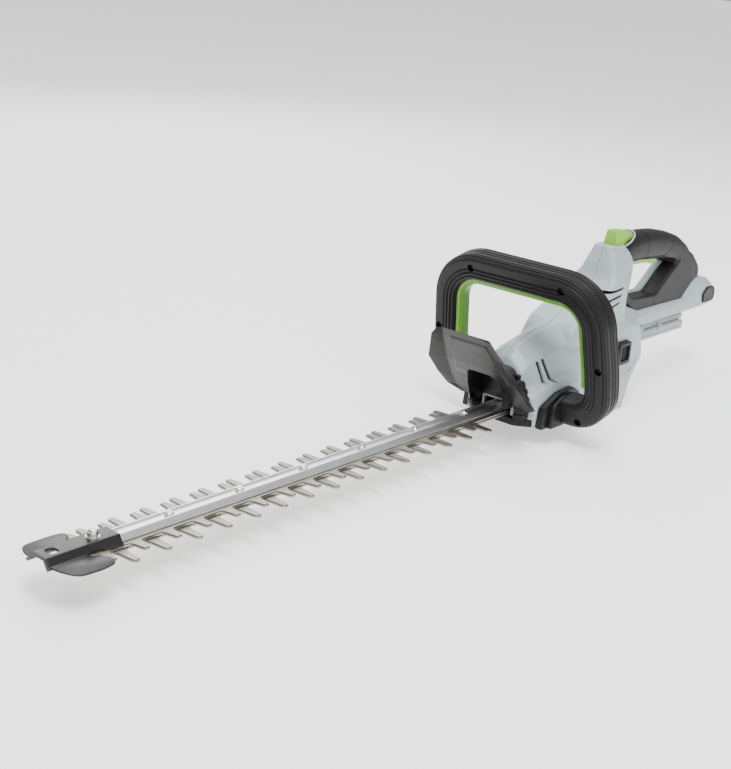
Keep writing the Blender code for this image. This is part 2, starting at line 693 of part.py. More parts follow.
def housing_cutters():
    """The openings through the housing: blade mouth, cover seat, vents and button wells."""
    cutters = [
        box("mouth", (0.59, -0.0205, -0.02), (0.645, 0.0205, 0.0135)),
        box("cover_opening", (0.6075, -0.0435, -0.02), (0.7115, 0.0435, 0.004)),
        box("button_well", (BUTTON_X[0] - BUTTON_SIDE_GAP, -0.0108, BUTTON_WELL_FLOOR), (0.90, 0.0108, 0.30)),
        box("trigger_room", (0.855, -0.0075, 0.135), (0.95, 0.0075, 0.170)),
        box("dock_opening", (0.880, -0.014, 0.05), (0.96, 0.014, 0.080)),
        box("release_well", (RELEASE_X[0] - 0.0006, -0.06, RELEASE_Z[0] - 0.0006),
            (RELEASE_X[1] + 0.0006, -0.040, RELEASE_Z[1] + 0.0006)),
    ]
    for side in (-1, 1):
        for k in range(2):
            x = 0.6405 + 0.0150 * k
            low = box(f"side_vent_{side}_{k}", (x - 0.0026, side * 0.03 - 0.012, 0.0340),
                      (x + 0.0026, side * 0.03 + 0.012, 0.0610))
            cutters.append(low)
        for k in range(3):
            z = 0.1160 - 0.0100 * k
            start = 0.790 + 0.006 * k
            cutters.append(box(f"riser_vent_{side}_{k}", (start, side * 0.03 - 0.012, z - 0.0018),
                               (0.846 - 0.004 * k, side * 0.03 + 0.012, z + 0.0018)))
    return cutters


def make_housing():
    """The two housing halves, split along the tool's middle plane."""
    form, *additions = housing_solids("housing_form", 0.0)
    for addition in additions:
        boolean(form, addition, "UNION")
    cutters = housing_solids("housing_room", WALL) + housing_cutters()
    for name, low_y, high_y in (("housing_left", -0.08, -GAP / 2), ("housing_right", GAP / 2, 0.08)):
        half = box(name, (0.55, low_y, -0.06), (1.15, high_y, 0.22), GREY_PLASTIC)
        boolean(half, form, "INTERSECT")
        for cutter in cutters:
            boolean(half, cutter)


# ---------------------------------------------------------------- front loop
def loop_path():
    """The middle line of the loop handle, right side to left side, as (y, up) points."""
    half = [(LOOP_START_Y, 0.0055), (0.1110, 0.0055), (0.1125, 0.060), (0.1040, 0.1650)]
    corners = half + [(-y, up) for y, up in reversed(half)]
    radii = [0.033, 0.30, 0.050, 0.050, 0.30, 0.033]
    return rounded_path(corners, radii, 7)


def bail_path():
    """The part of the loop's middle line that carries the bail."""
    return [point for point in loop_path() if point[1] > BAIL_END_UP - 0.012 and point[1] > 0.03]


def clipped_band(path, left, right, lowest):
    """A band along a path, its two ends cut level at a height."""
    outline = band(path, left, right)
    return [(y, max(up, lowest)) for y, up in outline]


def make_loop():
    """The loop's two shells, its bail and its screws."""
    whole = plate("loop_form", [band(loop_path(), LOOP_HALF_BAR, LOOP_HALF_BAR)], 0.0, LOOP_DEPTH,
                  LOOP_VIEW)
    bevel(whole, LOOP_ROUND, 2)
    bail_left = LOOP_HALF_BAR + BAIL_INNER_PROUD
    bail_right = -(LOOP_HALF_BAR - BAIL_EMBED)
    path = bail_path()
    room = plate("bail_room", [clipped_band(path, bail_left + 0.004, bail_right + BAIL_TRAVEL + 0.001,
                                            BAIL_END_UP - 0.002)],
                 BAIL_NEAR - GAP, BAIL_FAR + GAP, LOOP_VIEW)
    screws = loop_screw_places()
    split = LOOP_DEPTH / 2
    for name, low, high in (("loop_front_shell", -0.01, split - GAP / 2),
                            ("loop_rear_shell", split + GAP / 2, 0.06)):
        corners = [(-0.15, -0.04), (0.15, -0.04), (0.15, 0.21), (-0.15, 0.21)]
        shell = plate(name, [corners], low, high, LOOP_VIEW, BLACK_PLASTIC)
        boolean(shell, whole, "INTERSECT")
        boolean(shell, room)
        if low < 0:
            for i, (y, up) in enumerate(screws):
                rim = arc((y, up), LOOP_SCREW_RADIUS + 0.0005, 0, 337.5, 16)
                pocket = plate(f"loop_screw_pocket_{i}", [rim], -0.01, LOOP_SCREW_DEPTH[1] + GAP, LOOP_VIEW)
                boolean(shell, pocket)
    for i, (y, up) in enumerate(screws):
        plate(f"loop_screw_{i + 1}", [arc((y, up), LOOP_SCREW_RADIUS, 0, 337.5, 16)],
              *LOOP_SCREW_DEPTH, LOOP_VIEW, DARK_STEEL)
    bail_outline = clipped_band(path, bail_left, bail_right, BAIL_END_UP)
    bail = plate("front_bail", [bail_outline], BAIL_NEAR, BAIL_FAR, LOOP_VIEW, GREEN_PLASTIC)
    pivot = LOOP_VIEW @ Vector((0, BAIL_END_UP, LOOP_DEPTH / 2))
    adopt(bail, make_empty("bail_slide", pivot, FRAME), pivot)


def loop_screw_places():
    """The five screws in the loop's front face, as (y, up) points."""
    stretch = 1 / math.cos(LOOP_TILT)
    return [(0.0647, 0.1612 * stretch), (-0.0647, 0.1612 * stretch), (0.117, 0.0737 * stretch),
            (-0.117, 0.0737 * stretch), (-0.0898, 0.0003)]


def make_brackets():
    """The black blocks that clamp the loop's lower arms to the housing."""
    for name, side in (("loop_bracket_left", -1), ("loop_bracket_right", 1)):
        corners = [(0.612, -0.0125), (0.697, -0.0125), (0.6985, 0.010), (0.688, 0.0225),
                   (0.674, 0.0300), (0.644, 0.0270), (0.615, 0.0140)]
        inner = side * (POD_HALF + GAP)
        outer = side * BRACKET_OUTER
        bracket = plate(name, [corners], min(inner, outer), max(inner, outer), SIDE_VIEW, BLACK_PLASTIC)
        bevel(bracket, 0.0025, 2)


# ---------------------------------------------------------------- hand guard
GUARD_ROWS = [
    # x, z, half width
    (0.5130, 0.1100, 0.0400),
    (0.5380, 0.0650, 0.0630),
    (0.5640, 0.0410, 0.0650),
    (0.5800, 0.0240, 0.0640),
    (0.5880, 0.0150, 0.0520),
]
GUARD_THICKNESS = 0.003
GUARD_ARCH_HALF = 0.024
GUARD_ARCH_SPRING_Z = 0.030


def make_guard():
    """The bent shield with its arch over the rail, and the blocks that hold it."""
    bm = bmesh.new()
    columns = (-1.0, -0.5, 0.0, 0.5, 1.0)
    grid = [[bm.verts.new((x, share * half, z)) for share in columns] for x, z, half in GUARD_ROWS]
    for upper, lower in zip(grid, grid[1:]):
        for i in range(len(columns) - 1):
            bm.faces.new((upper[i], upper[i + 1], lower[i + 1], lower[i]))
    guard = finish("hand_guard", bm, BLACK_PLASTIC)
    shell = guard.modifiers.new("thickness", "SOLIDIFY")
    shell.thickness = GUARD_THICKNESS
    shell.offset = 0.0
    crown = arc((0, GUARD_ARCH_SPRING_Z), GUARD_ARCH_HALF, 0, 180, 7)
    arch = [(-GUARD_ARCH_HALF, FLOOR_Z), (GUARD_ARCH_HALF, FLOOR_Z), *crown]
    boolean(guard, plate("guard_arch", [arch], 0.50, 0.62, FRONT_VIEW))
    for name, side in (("guard_mount_left", -1), ("guard_mount_right", 1)):
        inner, outer = side * 0.0248, side * 0.0400
        corners = [(0.5912, -0.0020), (0.6020, -0.0020), (0.6020, 0.0400), (0.5850, 0.0400),
                   (0.5780, 0.0360), (0.5908, 0.0205)]
        plate(name, [corners], min(inner, outer), max(inner, outer), SIDE_VIEW, BLACK_RUBBER)


# ---------------------------------------------------------------- rear handle
def grip_outline():
    """The C-shaped side view of the overmoulded grip, listed counter-clockwise."""
    rear_boundary = [(0.8845, 0.0845), (1.0055, 0.0845), (1.0375, 0.1085), (1.0500, 0.1100),
                     (1.0640, 0.1060)]
    crown = [(1.0400, 0.1440), (1.0150, 0.1600), (0.9850, 0.1740), (0.9550, 0.1840),
             (0.9200, 0.1890), (0.8850, 0.1905), (0.8620, 0.1880), (0.8380, 0.1800)]
    front = [(0.8660, 0.1560), (0.8660, 0.1515), (0.9300, 0.1475), (0.9600, 0.1470)]
    hole = [(0.9770, 0.1430), (0.9790, 0.1380), (0.9620, 0.1260), (0.9430, 0.1110),
            (0.9300, 0.1030), (0.8640, 0.1020), (0.8640, 0.0990)]
    return rear_boundary + crown + front + hole


def make_grip():
    """The two rubber-covered halves of the rear handle, hollow round the switch."""
    outline = grip_outline()
    form = plate("grip_form", [outline], -GRIP_HALF, GRIP_HALF, SIDE_VIEW)
    bevel(form, GRIP_ROUND, 3, 50)
    crown_room = [(0.8800, 0.1560), (0.9600, 0.1560), (0.9860, 0.1460), (1.0200, 0.1420),
                  (0.9820, 0.1660), (0.9500, 0.1770), (0.9180, 0.1830), (0.8800, 0.1845)]
    room = plate("grip_room", [crown_room], -GRIP_HALF + 0.005, GRIP_HALF - 0.005, SIDE_VIEW)
    housing = housing_solids("housing_clearance", -GAP)
    well = box("grip_button_well", (BUTTON_X[0] - BUTTON_SIDE_GAP, -0.0108, BUTTON_WELL_FLOOR),
               (BUTTON_X[1] + BUTTON_SIDE_GAP, 0.0108, 0.30))
    slot = box("grip_trigger_slot", (0.86, -TRIGGER_HALF - 0.0006, 0.130),
               (0.944, TRIGGER_HALF + 0.0006, 0.1660))
    pin_hole = cylinder("grip_pin_hole", (TRIGGER_PIVOT[0], -0.0125, TRIGGER_PIVOT[1]), 0.025,
                        TRIGGER_PIN_RADIUS + GAP, "Y", segments=16)
    for name, low, high in (("rear_grip_left", -0.04, -GAP / 2), ("rear_grip_right", GAP / 2, 0.04)):
        half = box(name, (0.80, low, 0.07), (1.10, high, 0.22), BLACK_RUBBER)
        boolean(half, form, "INTERSECT")
        for cutter in (room, *housing, well, slot, pin_hole):
            boolean(half, cutter)


def make_trigger():
    """The throttle trigger and its pin."""
    outline = [(0.8685, 0.1640), (0.8680, 0.1440), (0.8800, 0.1410), (0.9000, 0.1415),
               (0.9200, 0.1390), (0.9320, 0.1345), (0.9375, 0.1365), (0.9400, 0.1450),
               (0.9370, 0.1500), (0.9000, 0.1530), (0.8830, 0.1600), (0.8780, 0.1640)]
    hole = arc(TRIGGER_PIVOT, TRIGGER_PIN_RADIUS + RUNNING_GAP, 0, 337.5, 16)
    trigger = plate("trigger", [outline, hole], -TRIGGER_HALF, TRIGGER_HALF, SIDE_VIEW, GREEN_PLASTIC)
    pivot = (TRIGGER_PIVOT[0], 0, TRIGGER_PIVOT[1])
    adopt(trigger, make_empty("trigger_axis", pivot, FRAME), pivot)
    pin = arc(TRIGGER_PIVOT, TRIGGER_PIN_RADIUS, 0, 337.5, 16)
    plate("trigger_pin", [pin], -0.012, 0.012, SIDE_VIEW, BLADE_STEEL)
    box("trigger_switch", (0.9000, -0.0060, 0.1670), (0.9340, 0.0060, 0.1800), BLACK_PLASTIC)


def make_lockoff():
    """The green lock-off button and the coil spring under it."""
    outline = [(BUTTON_X[0], BUTTON_Z[0]), (BUTTON_X[1], BUTTON_Z[0]), (BUTTON_X[1], 0.1900),
               (0.8590, 0.1930), (0.8300, BUTTON_Z[1]), (0.8200, BUTTON_Z[1])]
    button = plate("lockoff_button", [outline], -0.0102, 0.0102, SIDE_VIEW, GREEN_PLASTIC)
    bevel(button, 0.0015, 1)
    pivot = (0.84, 0, BUTTON_Z[0])
    adopt(button, make_empty("lockoff_slide", pivot, FRAME), pivot)
    coil("lockoff_spring", (0.84, 0, BUTTON_WELL_FLOOR + GAP), 0.0040, 0.0005,
         BUTTON_Z[0] - BUTTON_WELL_FLOOR - 2 * GAP, 4, BLADE_STEEL)


# ---------------------------------------------------------------- battery end
def make_release():
    """The battery release button in the left side."""
    corners = [(RELEASE_X[0], RELEASE_Z[0]), (RELEASE_X[1], RELEASE_Z[0]),
               (RELEASE_X[1], RELEASE_Z[1]), (RELEASE_X[0], RELEASE_Z[1])]
    button = plate("release_button", [rounded_outline(corners, 0.003, 2)], -0.0515, -0.0405, SIDE_VIEW,
                   BLACK_PLASTIC)
    pivot = ((RELEASE_X[0] + RELEASE_X[1]) / 2, -0.0515, (RELEASE_Z[0] + RELEASE_Z[1]) / 2)
    adopt(button, make_empty("release_slide", pivot, FRAME), pivot)


def make_dock():
    """The battery rail under the arm, with its contact block and control board."""
    neck_bottom = DOCK_FLANGE_Z[1] + GAP
    low_x, high_x = DOCK_X
    flange = box("battery_rail", (low_x, -DOCK_FLANGE_HALF, DOCK_FLANGE_Z[0]),
                 (high_x, DOCK_FLANGE_HALF, DOCK_FLANGE_Z[1]), GREY_PLASTIC)
    bevel(flange, 0.0015, 1)
    box("contact_block", (ARM_STATIONS[1][0] + 0.002, -DOCK_NECK_HALF, neck_bottom),
        (high_x - 0.002, DOCK_NECK_HALF, ARM_BOTTOM - 0.0016), GREY_PLASTIC)
    box("control_board", (0.755, -0.030, 0.012), (0.840, 0.030, 0.0136), BOARD_GREEN)


def make_badge():
    """The blank dark badge on the tail's left side."""
    corners = [(1.0570, 0.0710), (1.0900, 0.0700), (1.0930, 0.0800), (1.0870, 0.0900),
               (1.0700, 0.0910), (1.0600, 0.0860)]
    plate("tail_badge", [corners], -0.0262, -0.0243, SIDE_VIEW, BLACK_PLASTIC)


def main():
    """Build the whole tool."""
    make_cutting_bar()
    make_drive()
    make_housing()
    make_loop()
    make_brackets()
    make_guard()
    make_grip()
    make_trigger()
    make_lockoff()
    make_release()
    make_dock()
    make_badge()


main()
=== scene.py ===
"""Looks of the cordless hedge trimmer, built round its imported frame.

Lengths are metres. Every piece is worked out in the design frame, where x = 0 is the first long
tooth, z = 0 is the middle of the lower blade and +x runs towards the tail. Workshop.place then
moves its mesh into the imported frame.
"""

import json
import logging
import math
from dataclasses import dataclass
from enum import Enum

import bmesh
import bpy
import numpy as np
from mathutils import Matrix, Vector

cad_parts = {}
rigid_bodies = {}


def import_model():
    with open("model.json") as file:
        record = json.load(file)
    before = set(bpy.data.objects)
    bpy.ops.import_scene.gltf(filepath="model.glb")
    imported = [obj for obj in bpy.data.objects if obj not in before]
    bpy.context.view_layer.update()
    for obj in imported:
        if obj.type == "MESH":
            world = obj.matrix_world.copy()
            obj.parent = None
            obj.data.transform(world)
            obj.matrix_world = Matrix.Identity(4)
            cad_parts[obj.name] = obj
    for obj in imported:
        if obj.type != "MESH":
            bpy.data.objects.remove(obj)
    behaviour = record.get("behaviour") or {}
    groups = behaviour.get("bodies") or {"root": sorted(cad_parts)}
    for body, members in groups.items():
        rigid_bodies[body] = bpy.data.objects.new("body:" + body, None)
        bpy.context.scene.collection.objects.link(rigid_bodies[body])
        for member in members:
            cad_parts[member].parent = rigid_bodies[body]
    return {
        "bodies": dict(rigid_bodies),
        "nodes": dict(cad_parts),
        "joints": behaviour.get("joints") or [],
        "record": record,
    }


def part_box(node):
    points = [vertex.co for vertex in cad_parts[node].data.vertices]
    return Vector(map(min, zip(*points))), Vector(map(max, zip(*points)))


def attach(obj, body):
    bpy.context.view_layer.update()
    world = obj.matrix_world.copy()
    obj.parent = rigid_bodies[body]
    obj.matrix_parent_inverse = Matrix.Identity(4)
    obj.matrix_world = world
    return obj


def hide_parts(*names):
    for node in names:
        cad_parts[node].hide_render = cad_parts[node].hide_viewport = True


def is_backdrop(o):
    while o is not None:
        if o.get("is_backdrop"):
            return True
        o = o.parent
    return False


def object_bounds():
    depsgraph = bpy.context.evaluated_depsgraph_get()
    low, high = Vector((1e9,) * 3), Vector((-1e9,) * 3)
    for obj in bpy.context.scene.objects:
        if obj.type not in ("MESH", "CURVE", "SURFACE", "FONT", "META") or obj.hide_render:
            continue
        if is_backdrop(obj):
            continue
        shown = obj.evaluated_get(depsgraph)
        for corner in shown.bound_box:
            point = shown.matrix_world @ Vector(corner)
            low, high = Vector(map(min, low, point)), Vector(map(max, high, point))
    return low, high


LOG = logging.getLogger("hedge_trimmer")
Array = np.ndarray
Colour = tuple[float, float, float]


class Slot(Enum):
    """The record's material slots."""

    GREY = "grey_plastic"
    BLACK = "black_plastic"
    RUBBER = "black_rubber"
    GREEN = "green_plastic"
    DARK_STEEL = "black_steel"
    BLADE = "blade_steel"
    ALUMINIUM = "aluminium"
    ZINC = "zinc_plate"
    WINDING = "winding"
    BOARD = "circuit_board"


class Plane(Enum):
    """How a flat outline (a, b) and its thickness c lie in the design frame."""

    TOP = ((1, 0, 0), (0, 1, 0), (0, 0, 1))
    SIDE = ((1, 0, 0), (0, 0, 1), (0, 1, 0))
    FRONT = ((0, 1, 0), (0, 0, 1), (1, 0, 0))

    def lay(self, points: Array) -> Array:
        """Points (..., 3) of (a, b, c) turned into x, y, z."""
        return points @ np.array(self.value, float)


# ---------------------------------------------------------------- shader maths
class Shade:
    """A number that varies over a surface. Python arithmetic on it adds Math nodes."""

    def __init__(self, recipe: "Recipe", socket: bpy.types.NodeSocket) -> None:
        """Wrap an output socket of a recipe's node tree."""
        self.recipe = recipe
        self.socket = socket

    def _with(self, operation: str, other: "Shade | float", swapped: bool = False) -> "Shade":
        """One Math node.

        Args:
            operation: The Math node's operation.
            other: The second value.
            swapped: True where the other value comes first.

        Returns:
            The result.
        """
        pair = (other, self) if swapped else (self, other)
        made = self.recipe.node("ShaderNodeMath", {"operation": operation}, dict(enumerate(pair)))
        return Shade(self.recipe, made.outputs[0])

    def __add__(self, other: "Shade | float") -> "Shade":
        """Self plus other."""
        return self._with("ADD", other)

    __radd__ = __add__

    def __mul__(self, other: "Shade | float") -> "Shade":
        """Self times other."""
        return self._with("MULTIPLY", other)

    __rmul__ = __mul__

    def __sub__(self, other: "Shade | float") -> "Shade":
        """Self minus other."""
        return self._with("SUBTRACT", other)

    def __rsub__(self, other: float) -> "Shade":
        """Other minus self."""
        return self._with("SUBTRACT", other, swapped=True)

    def sine(self) -> "Shade":
        """The sine of self, in radians."""
        return self._with("SINE", 0.0)

    def within(self, low: float, high: float) -> "Shade":
        """Self spread so that low gives 0 and high gives 1, and held between the two."""
        made = self.recipe.node(
            "ShaderNodeMapRange", {"clamp": True}, {"Value": self, "From Min": low, "From Max": high}
        )
        return Shade(self.recipe, made.outputs[0])


class Recipe:
    """A material under construction."""

    def __init__(self, name: str) -> None:
        """Start an empty node tree.

        Args:
            name: The material's name.
        """
        self.material = bpy.data.materials.new(name)
        self.material.use_nodes = True
        self.tree = self.material.node_tree
        self.tree.nodes.clear()
        self.place = self.node("ShaderNodeTexCoord").outputs["Object"]

    def node(self, kind: str, settings: dict | None = None, sockets: dict | None = None) -> bpy.types.Node:
        """Any node.

        Args:
            kind: The node's type.
            settings: Properties of the node, set first.
            sockets: Values or links for its inputs, by name or number.

        Returns:
            The new node.
        """
        made = self.tree.nodes.new(kind)
        for key, value in (settings or {}).items():
            setattr(made, key, value)
        for key, value in (sockets or {}).items():
            value = value.socket if isinstance(value, Shade) else value
            if isinstance(value, bpy.types.NodeSocket):
                self.tree.links.new(value, made.inputs[key])
            else:
                made.inputs[key].default_value = value
        return made

    def stretched(self, scale: tuple[float, float, float]) -> bpy.types.NodeSocket:
        """Object coordinates scaled along each axis."""
        return self.node("ShaderNodeMapping", {}, {"Vector": self.place, "Scale": scale}).outputs[0]

    def noise(self, scale: float, detail: float = 3.0, stretch: tuple = (1.0, 1.0, 1.0)) -> Shade:
        """Noise from 0 to 1 in Object coordinates.

        Args:
            scale: Cells in a metre.
            detail: Octaves.
            stretch: Scale of each axis, to draw the pattern out.

        Returns:
            The noise.
        """
        sockets = {"Vector": self.stretched(stretch), "Scale": scale, "Detail": detail}
        return Shade(self, self.node("ShaderNodeTexNoise", {}, sockets).outputs[0])

    def attribute(self, name: str) -> Shade:
        """A number that the mesh carries at its points."""
        made = self.node("ShaderNodeAttribute", {"attribute_name": name})
        return Shade(self, made.outputs["Fac"])

    def axis(self, letter: str) -> Shade:
        """One Object coordinate."""
        return Shade(self, self.node("ShaderNodeSeparateXYZ", {}, {0: self.place}).outputs[letter])

    def blend(self, first: "Colour | bpy.types.NodeSocket", second: Colour,
              share: Shade) -> bpy.types.NodeSocket:
        """A colour between two, where share 0 gives the first."""
        first = first if isinstance(first, bpy.types.NodeSocket) else (*first, 1.0)
        made = self.node("ShaderNodeMix", {"data_type": "RGBA"}, {0: share, 6: first, 7: (*second, 1.0)})
        return made.outputs[2]

    def surface(self, colour: bpy.types.NodeSocket, roughness: Shade, height: Shade, depth: float,
                fixed: dict | None = None) -> bpy.types.Material:
        """Close the tree with a Principled shader.

        Args:
            colour: The base colour.
            roughness: The roughness.
            height: Relief from 0 to 1.
            depth: What a relief of 1 stands for, in metres.
            fixed: Numbers set on the shader's own sockets.

        Returns:
            The finished material.
        """
        bump = self.node("ShaderNodeBump", {}, {"Height": height, "Distance": depth, "Strength": 1.0})
        sockets = {"Base Color": colour, "Roughness": roughness, "Normal": bump.outputs[0], **(fixed or {})}
        shader = self.node("ShaderNodeBsdfPrincipled", {}, sockets)
        self.node("ShaderNodeOutputMaterial", {}, {0: shader.outputs[0]})
        return self.material


def scaled(colour: Colour, factor: float) -> Colour:
    """A colour made lighter or darker."""
    return tuple(min(1.0, part * factor) for part in colour)


# ---------------------------------------------------------------- finishes
@dataclass(frozen=True)
class MouldedPlastic:
    """Injection-moulded plastic with a spark-eroded grain."""

    name: str
    colour: Colour
    roughness: float
    grain: float = 1500.0
    grain_depth: float = 0.00006
    mottle: float = 0.05
    ridged: bool = False
    shine: float = 0.45

    def make(self) -> bpy.types.Material:
        """Build the material: cloudy tint, fine grain, rubbed patches."""
        recipe = Recipe(self.name)
        cloud = recipe.noise(14.0, 3.0)
        speck = recipe.noise(self.grain, 2.0)
        rub = recipe.noise(55.0, 5.0).within(0.52, 0.75)
        tint = recipe.blend(scaled(self.colour, 1 - self.mottle), scaled(self.colour, 1 + self.mottle), cloud)
        colour = recipe.blend(tint, scaled(self.colour, 1 + 3 * self.mottle), speck * rub * 0.5)
        roughness = self.roughness + (speck - 0.5) * 0.08 - rub * 0.06 + (cloud - 0.5) * 0.06
        height = speck
        if self.ridged:
            around = recipe.attribute("around")
            hatch = (around * (2 * math.pi / 0.0011)).sine() * recipe.attribute("hatched")
            height = speck * 0.4 + hatch * 0.6 + 0.5
            roughness = roughness + recipe.attribute("hatched") * 0.06
        fixed = {"Specular IOR Level": self.shine}
        return recipe.surface(colour, roughness, height, self.grain_depth, fixed)


@dataclass(frozen=True)
class SheetSteel:
    """Rolled or ground steel with a lengthwise lay and faint stains."""

    name: str
    colour: Colour
    roughness: float
    lay: tuple[float, float, float] = (12.0, 260.0, 260.0)
    scratch_depth: float = 0.00003
    metallic: float = 1.0
    stain: Colour = (0.10, 0.085, 0.06)
    stain_share: float = 0.25

    def make(self) -> bpy.types.Material:
        """Build the material: drawn-out scratches, mottled sheen, stains."""
        recipe = Recipe(self.name)
        lines = recipe.noise(6.0, 6.0, self.lay)
        cloud = recipe.noise(40.0, 4.0)
        fine = recipe.noise(1900.0, 2.0)
        tint = recipe.blend(scaled(self.colour, 0.88), scaled(self.colour, 1.1), lines)
        spots = recipe.noise(130.0, 6.0).within(0.58, 0.8) * self.stain_share
        colour = recipe.blend(tint, self.stain, spots)
        roughness = self.roughness + (lines - 0.5) * 0.16 + (cloud - 0.5) * 0.1 + spots * 0.4
        height = lines * 0.7 + fine * 0.3
        return recipe.surface(colour, roughness, height, self.scratch_depth, {"Metallic": self.metallic})


@dataclass(frozen=True)
class PaintedSteel:
    """Steel with a textured powder coat, worn through here and there."""

    name: str
    colour: Colour
    roughness: float
    orange_peel: float = 700.0

    def make(self) -> bpy.types.Material:
        """Build the material: pebbled coat with a few bare specks."""
        recipe = Recipe(self.name)
        peel = recipe.noise(self.orange_peel, 3.0)
        cloud = recipe.noise(25.0, 4.0)
        bare = recipe.noise(420.0, 6.0).within(0.70, 0.78) * recipe.noise(30.0, 2.0).within(0.5, 0.7)
        tint = recipe.blend(scaled(self.colour, 0.8), scaled(self.colour, 1.25), cloud)
        colour = recipe.blend(tint, (0.22, 0.21, 0.20), bare * 0.7)
        roughness = self.roughness + (peel - 0.5) * 0.14 + (cloud - 0.5) * 0.12
        return recipe.surface(colour, roughness, peel, 0.00011, {"Specular IOR Level": 0.5})


@dataclass(frozen=True)
class WoundCopper:
    """Enamelled windings: fine upright wires."""

    name: str
    colour: Colour

    def make(self) -> bpy.types.Material:
        """Build the material: upright bands with a lacquer sheen."""
        recipe = Recipe(self.name)
        wires = (recipe.axis("Z") * (2 * math.pi / 0.0012)).sine() * 0.5 + 0.5
        cloud = recipe.noise(90.0, 3.0)
        tint = recipe.blend(scaled(self.colour, 0.45), self.colour, wires)
        colour = recipe.blend(tint, scaled(self.colour, 0.6), cloud * 0.4)
        return recipe.surface(colour, 0.28 + cloud * 0.2, wires, 0.0003, {"Metallic": 0.8})


@dataclass(frozen=True)
class CircuitBoard:
    """Green solder mask over copper lanes."""

    name: str
    colour: Colour

    def make(self) -> bpy.types.Material:
        """Build the material: right-angled lanes under green lacquer."""
        recipe = Recipe(self.name)
        brick = recipe.node("ShaderNodeTexBrick", {},
                            {"Vector": recipe.place, "Scale": 190.0, "Mortar Size": 0.05})
        lanes = Shade(recipe, brick.outputs["Fac"])
        fine = recipe.noise(800.0, 2.0)
        colour = recipe.blend(self.colour, scaled(self.colour, 2.2), lanes)
        return recipe.surface(colour, 0.32 + fine * 0.2, lanes, 0.00008, {})


class Finish(Enum):
    """Every finish on the tool, by the maker's name for it."""

    BODY_GREY = MouldedPlastic("body_grey", (0.340, 0.405, 0.425), 0.38, mottle=0.03)
    DOCK_GREY = MouldedPlastic("dock_grey", (0.290, 0.340, 0.355), 0.44, mottle=0.04)
    LOOP_BLACK = MouldedPlastic("loop_black", (0.0095, 0.0090, 0.0092), 0.42, ridged=True,
                                grain_depth=0.00022, shine=0.22)
    GUARD_BLACK = MouldedPlastic("guard_black", (0.0105, 0.0100, 0.0098), 0.30, mottle=0.10, shine=0.28)
    BLACK = MouldedPlastic("moulded_black", (0.0085, 0.0085, 0.0090), 0.40, mottle=0.10, shine=0.22)
    GRIP_RUBBER = MouldedPlastic("grip_rubber", (0.0125, 0.0120, 0.0115), 0.46, grain=1100.0,
                                 grain_depth=0.00012, mottle=0.12, shine=0.24)
    BAIL_GREEN = MouldedPlastic("bail_green", (0.110, 0.310, 0.018), 0.38, mottle=0.04)
    SWITCH_GREEN = MouldedPlastic("switch_green", (0.235, 0.520, 0.050), 0.40, mottle=0.04)
    BLADE_FACE = SheetSteel("blade_face", (0.36, 0.345, 0.295), 0.42, (70.0, 30.0, 200.0))
    BLADE_EDGE = SheetSteel("blade_edge", (0.085, 0.080, 0.070), 0.42, (20.0, 20.0, 300.0))
    BLADE_GROUND = SheetSteel("blade_ground", (0.60, 0.59, 0.55), 0.26, (200.0, 12.0, 12.0))
    RAIL = SheetSteel("anodised_rail", (0.90, 0.91, 0.91), 0.34, (5.0, 420.0, 420.0),
                      stain=(0.45, 0.47, 0.48), stain_share=0.12)
    ZINC = SheetSteel("zinc_plating", (0.76, 0.76, 0.73), 0.20, (60.0, 60.0, 60.0),
                      stain=(0.50, 0.46, 0.36), stain_share=0.3)
    CASTING = SheetSteel("die_casting", (0.60, 0.61, 0.62), 0.42, (40.0, 40.0, 40.0), 0.0001)
    GEAR_STEEL = SheetSteel("gear_steel", (0.30, 0.29, 0.28), 0.35, (80.0, 80.0, 20.0))
    NOSE_COAT = PaintedSteel("nose_coat", (0.0090, 0.0085, 0.0082), 0.34)
    SCREW_COAT = PaintedSteel("screw_coat", (0.015, 0.015, 0.015), 0.40, 1500.0)
    WINDING = WoundCopper("winding_copper", (0.55, 0.24, 0.10))
    BOARD = CircuitBoard("board_green", (0.015, 0.10, 0.045))

    def material(self) -> bpy.types.Material:
        """The finish's material, built the first time that it is asked for."""
        return bpy.data.materials.get(self.value.name) or self.value.make()


# ---------------------------------------------------------------- forms
@dataclass
class Form:
    """A mesh as arrays: points (n, 3), and faces as rows of point numbers."""

    points: Array
    faces: list[list[int]]

    def __add__(self, other: "Form") -> "Form":
        """Both forms in one."""
        count = len(self.points)
        moved = [[index + count for index in face] for face in other.faces]
        return Form(np.vstack([self.points, other.points]), self.faces + moved)

    def mirrored(self) -> "Form":
        """The form on the other side of the tool's middle plane."""
        return Form(self.points * (1, -1, 1), [face[::-1] for face in self.faces])

    def both(self) -> "Form":
        """The form and its mirror image."""
        return self + self.mirrored()


def skin(rings: Array) -> Form:
    """A closed surface through rings: quads between each pair, and a face across each end.

    Args:
        rings: Points (rows, columns, 3), where a row is one closed ring.

    Returns:
        The form.
    """
    rows, columns = rings.shape[:2]
    index = np.arange(rows * columns).reshape(rows, columns)
    ends = [index[0][::-1].tolist(), index[-1].tolist()]
    index = np.hstack([index, index[:, :1]])
    quads = np.stack([index[:-1, :-1], index[:-1, 1:], index[1:, 1:], index[1:, :-1]], -1)
    return Form(rings.reshape(-1, 3), quads.reshape(-1, 4).tolist() + ends)


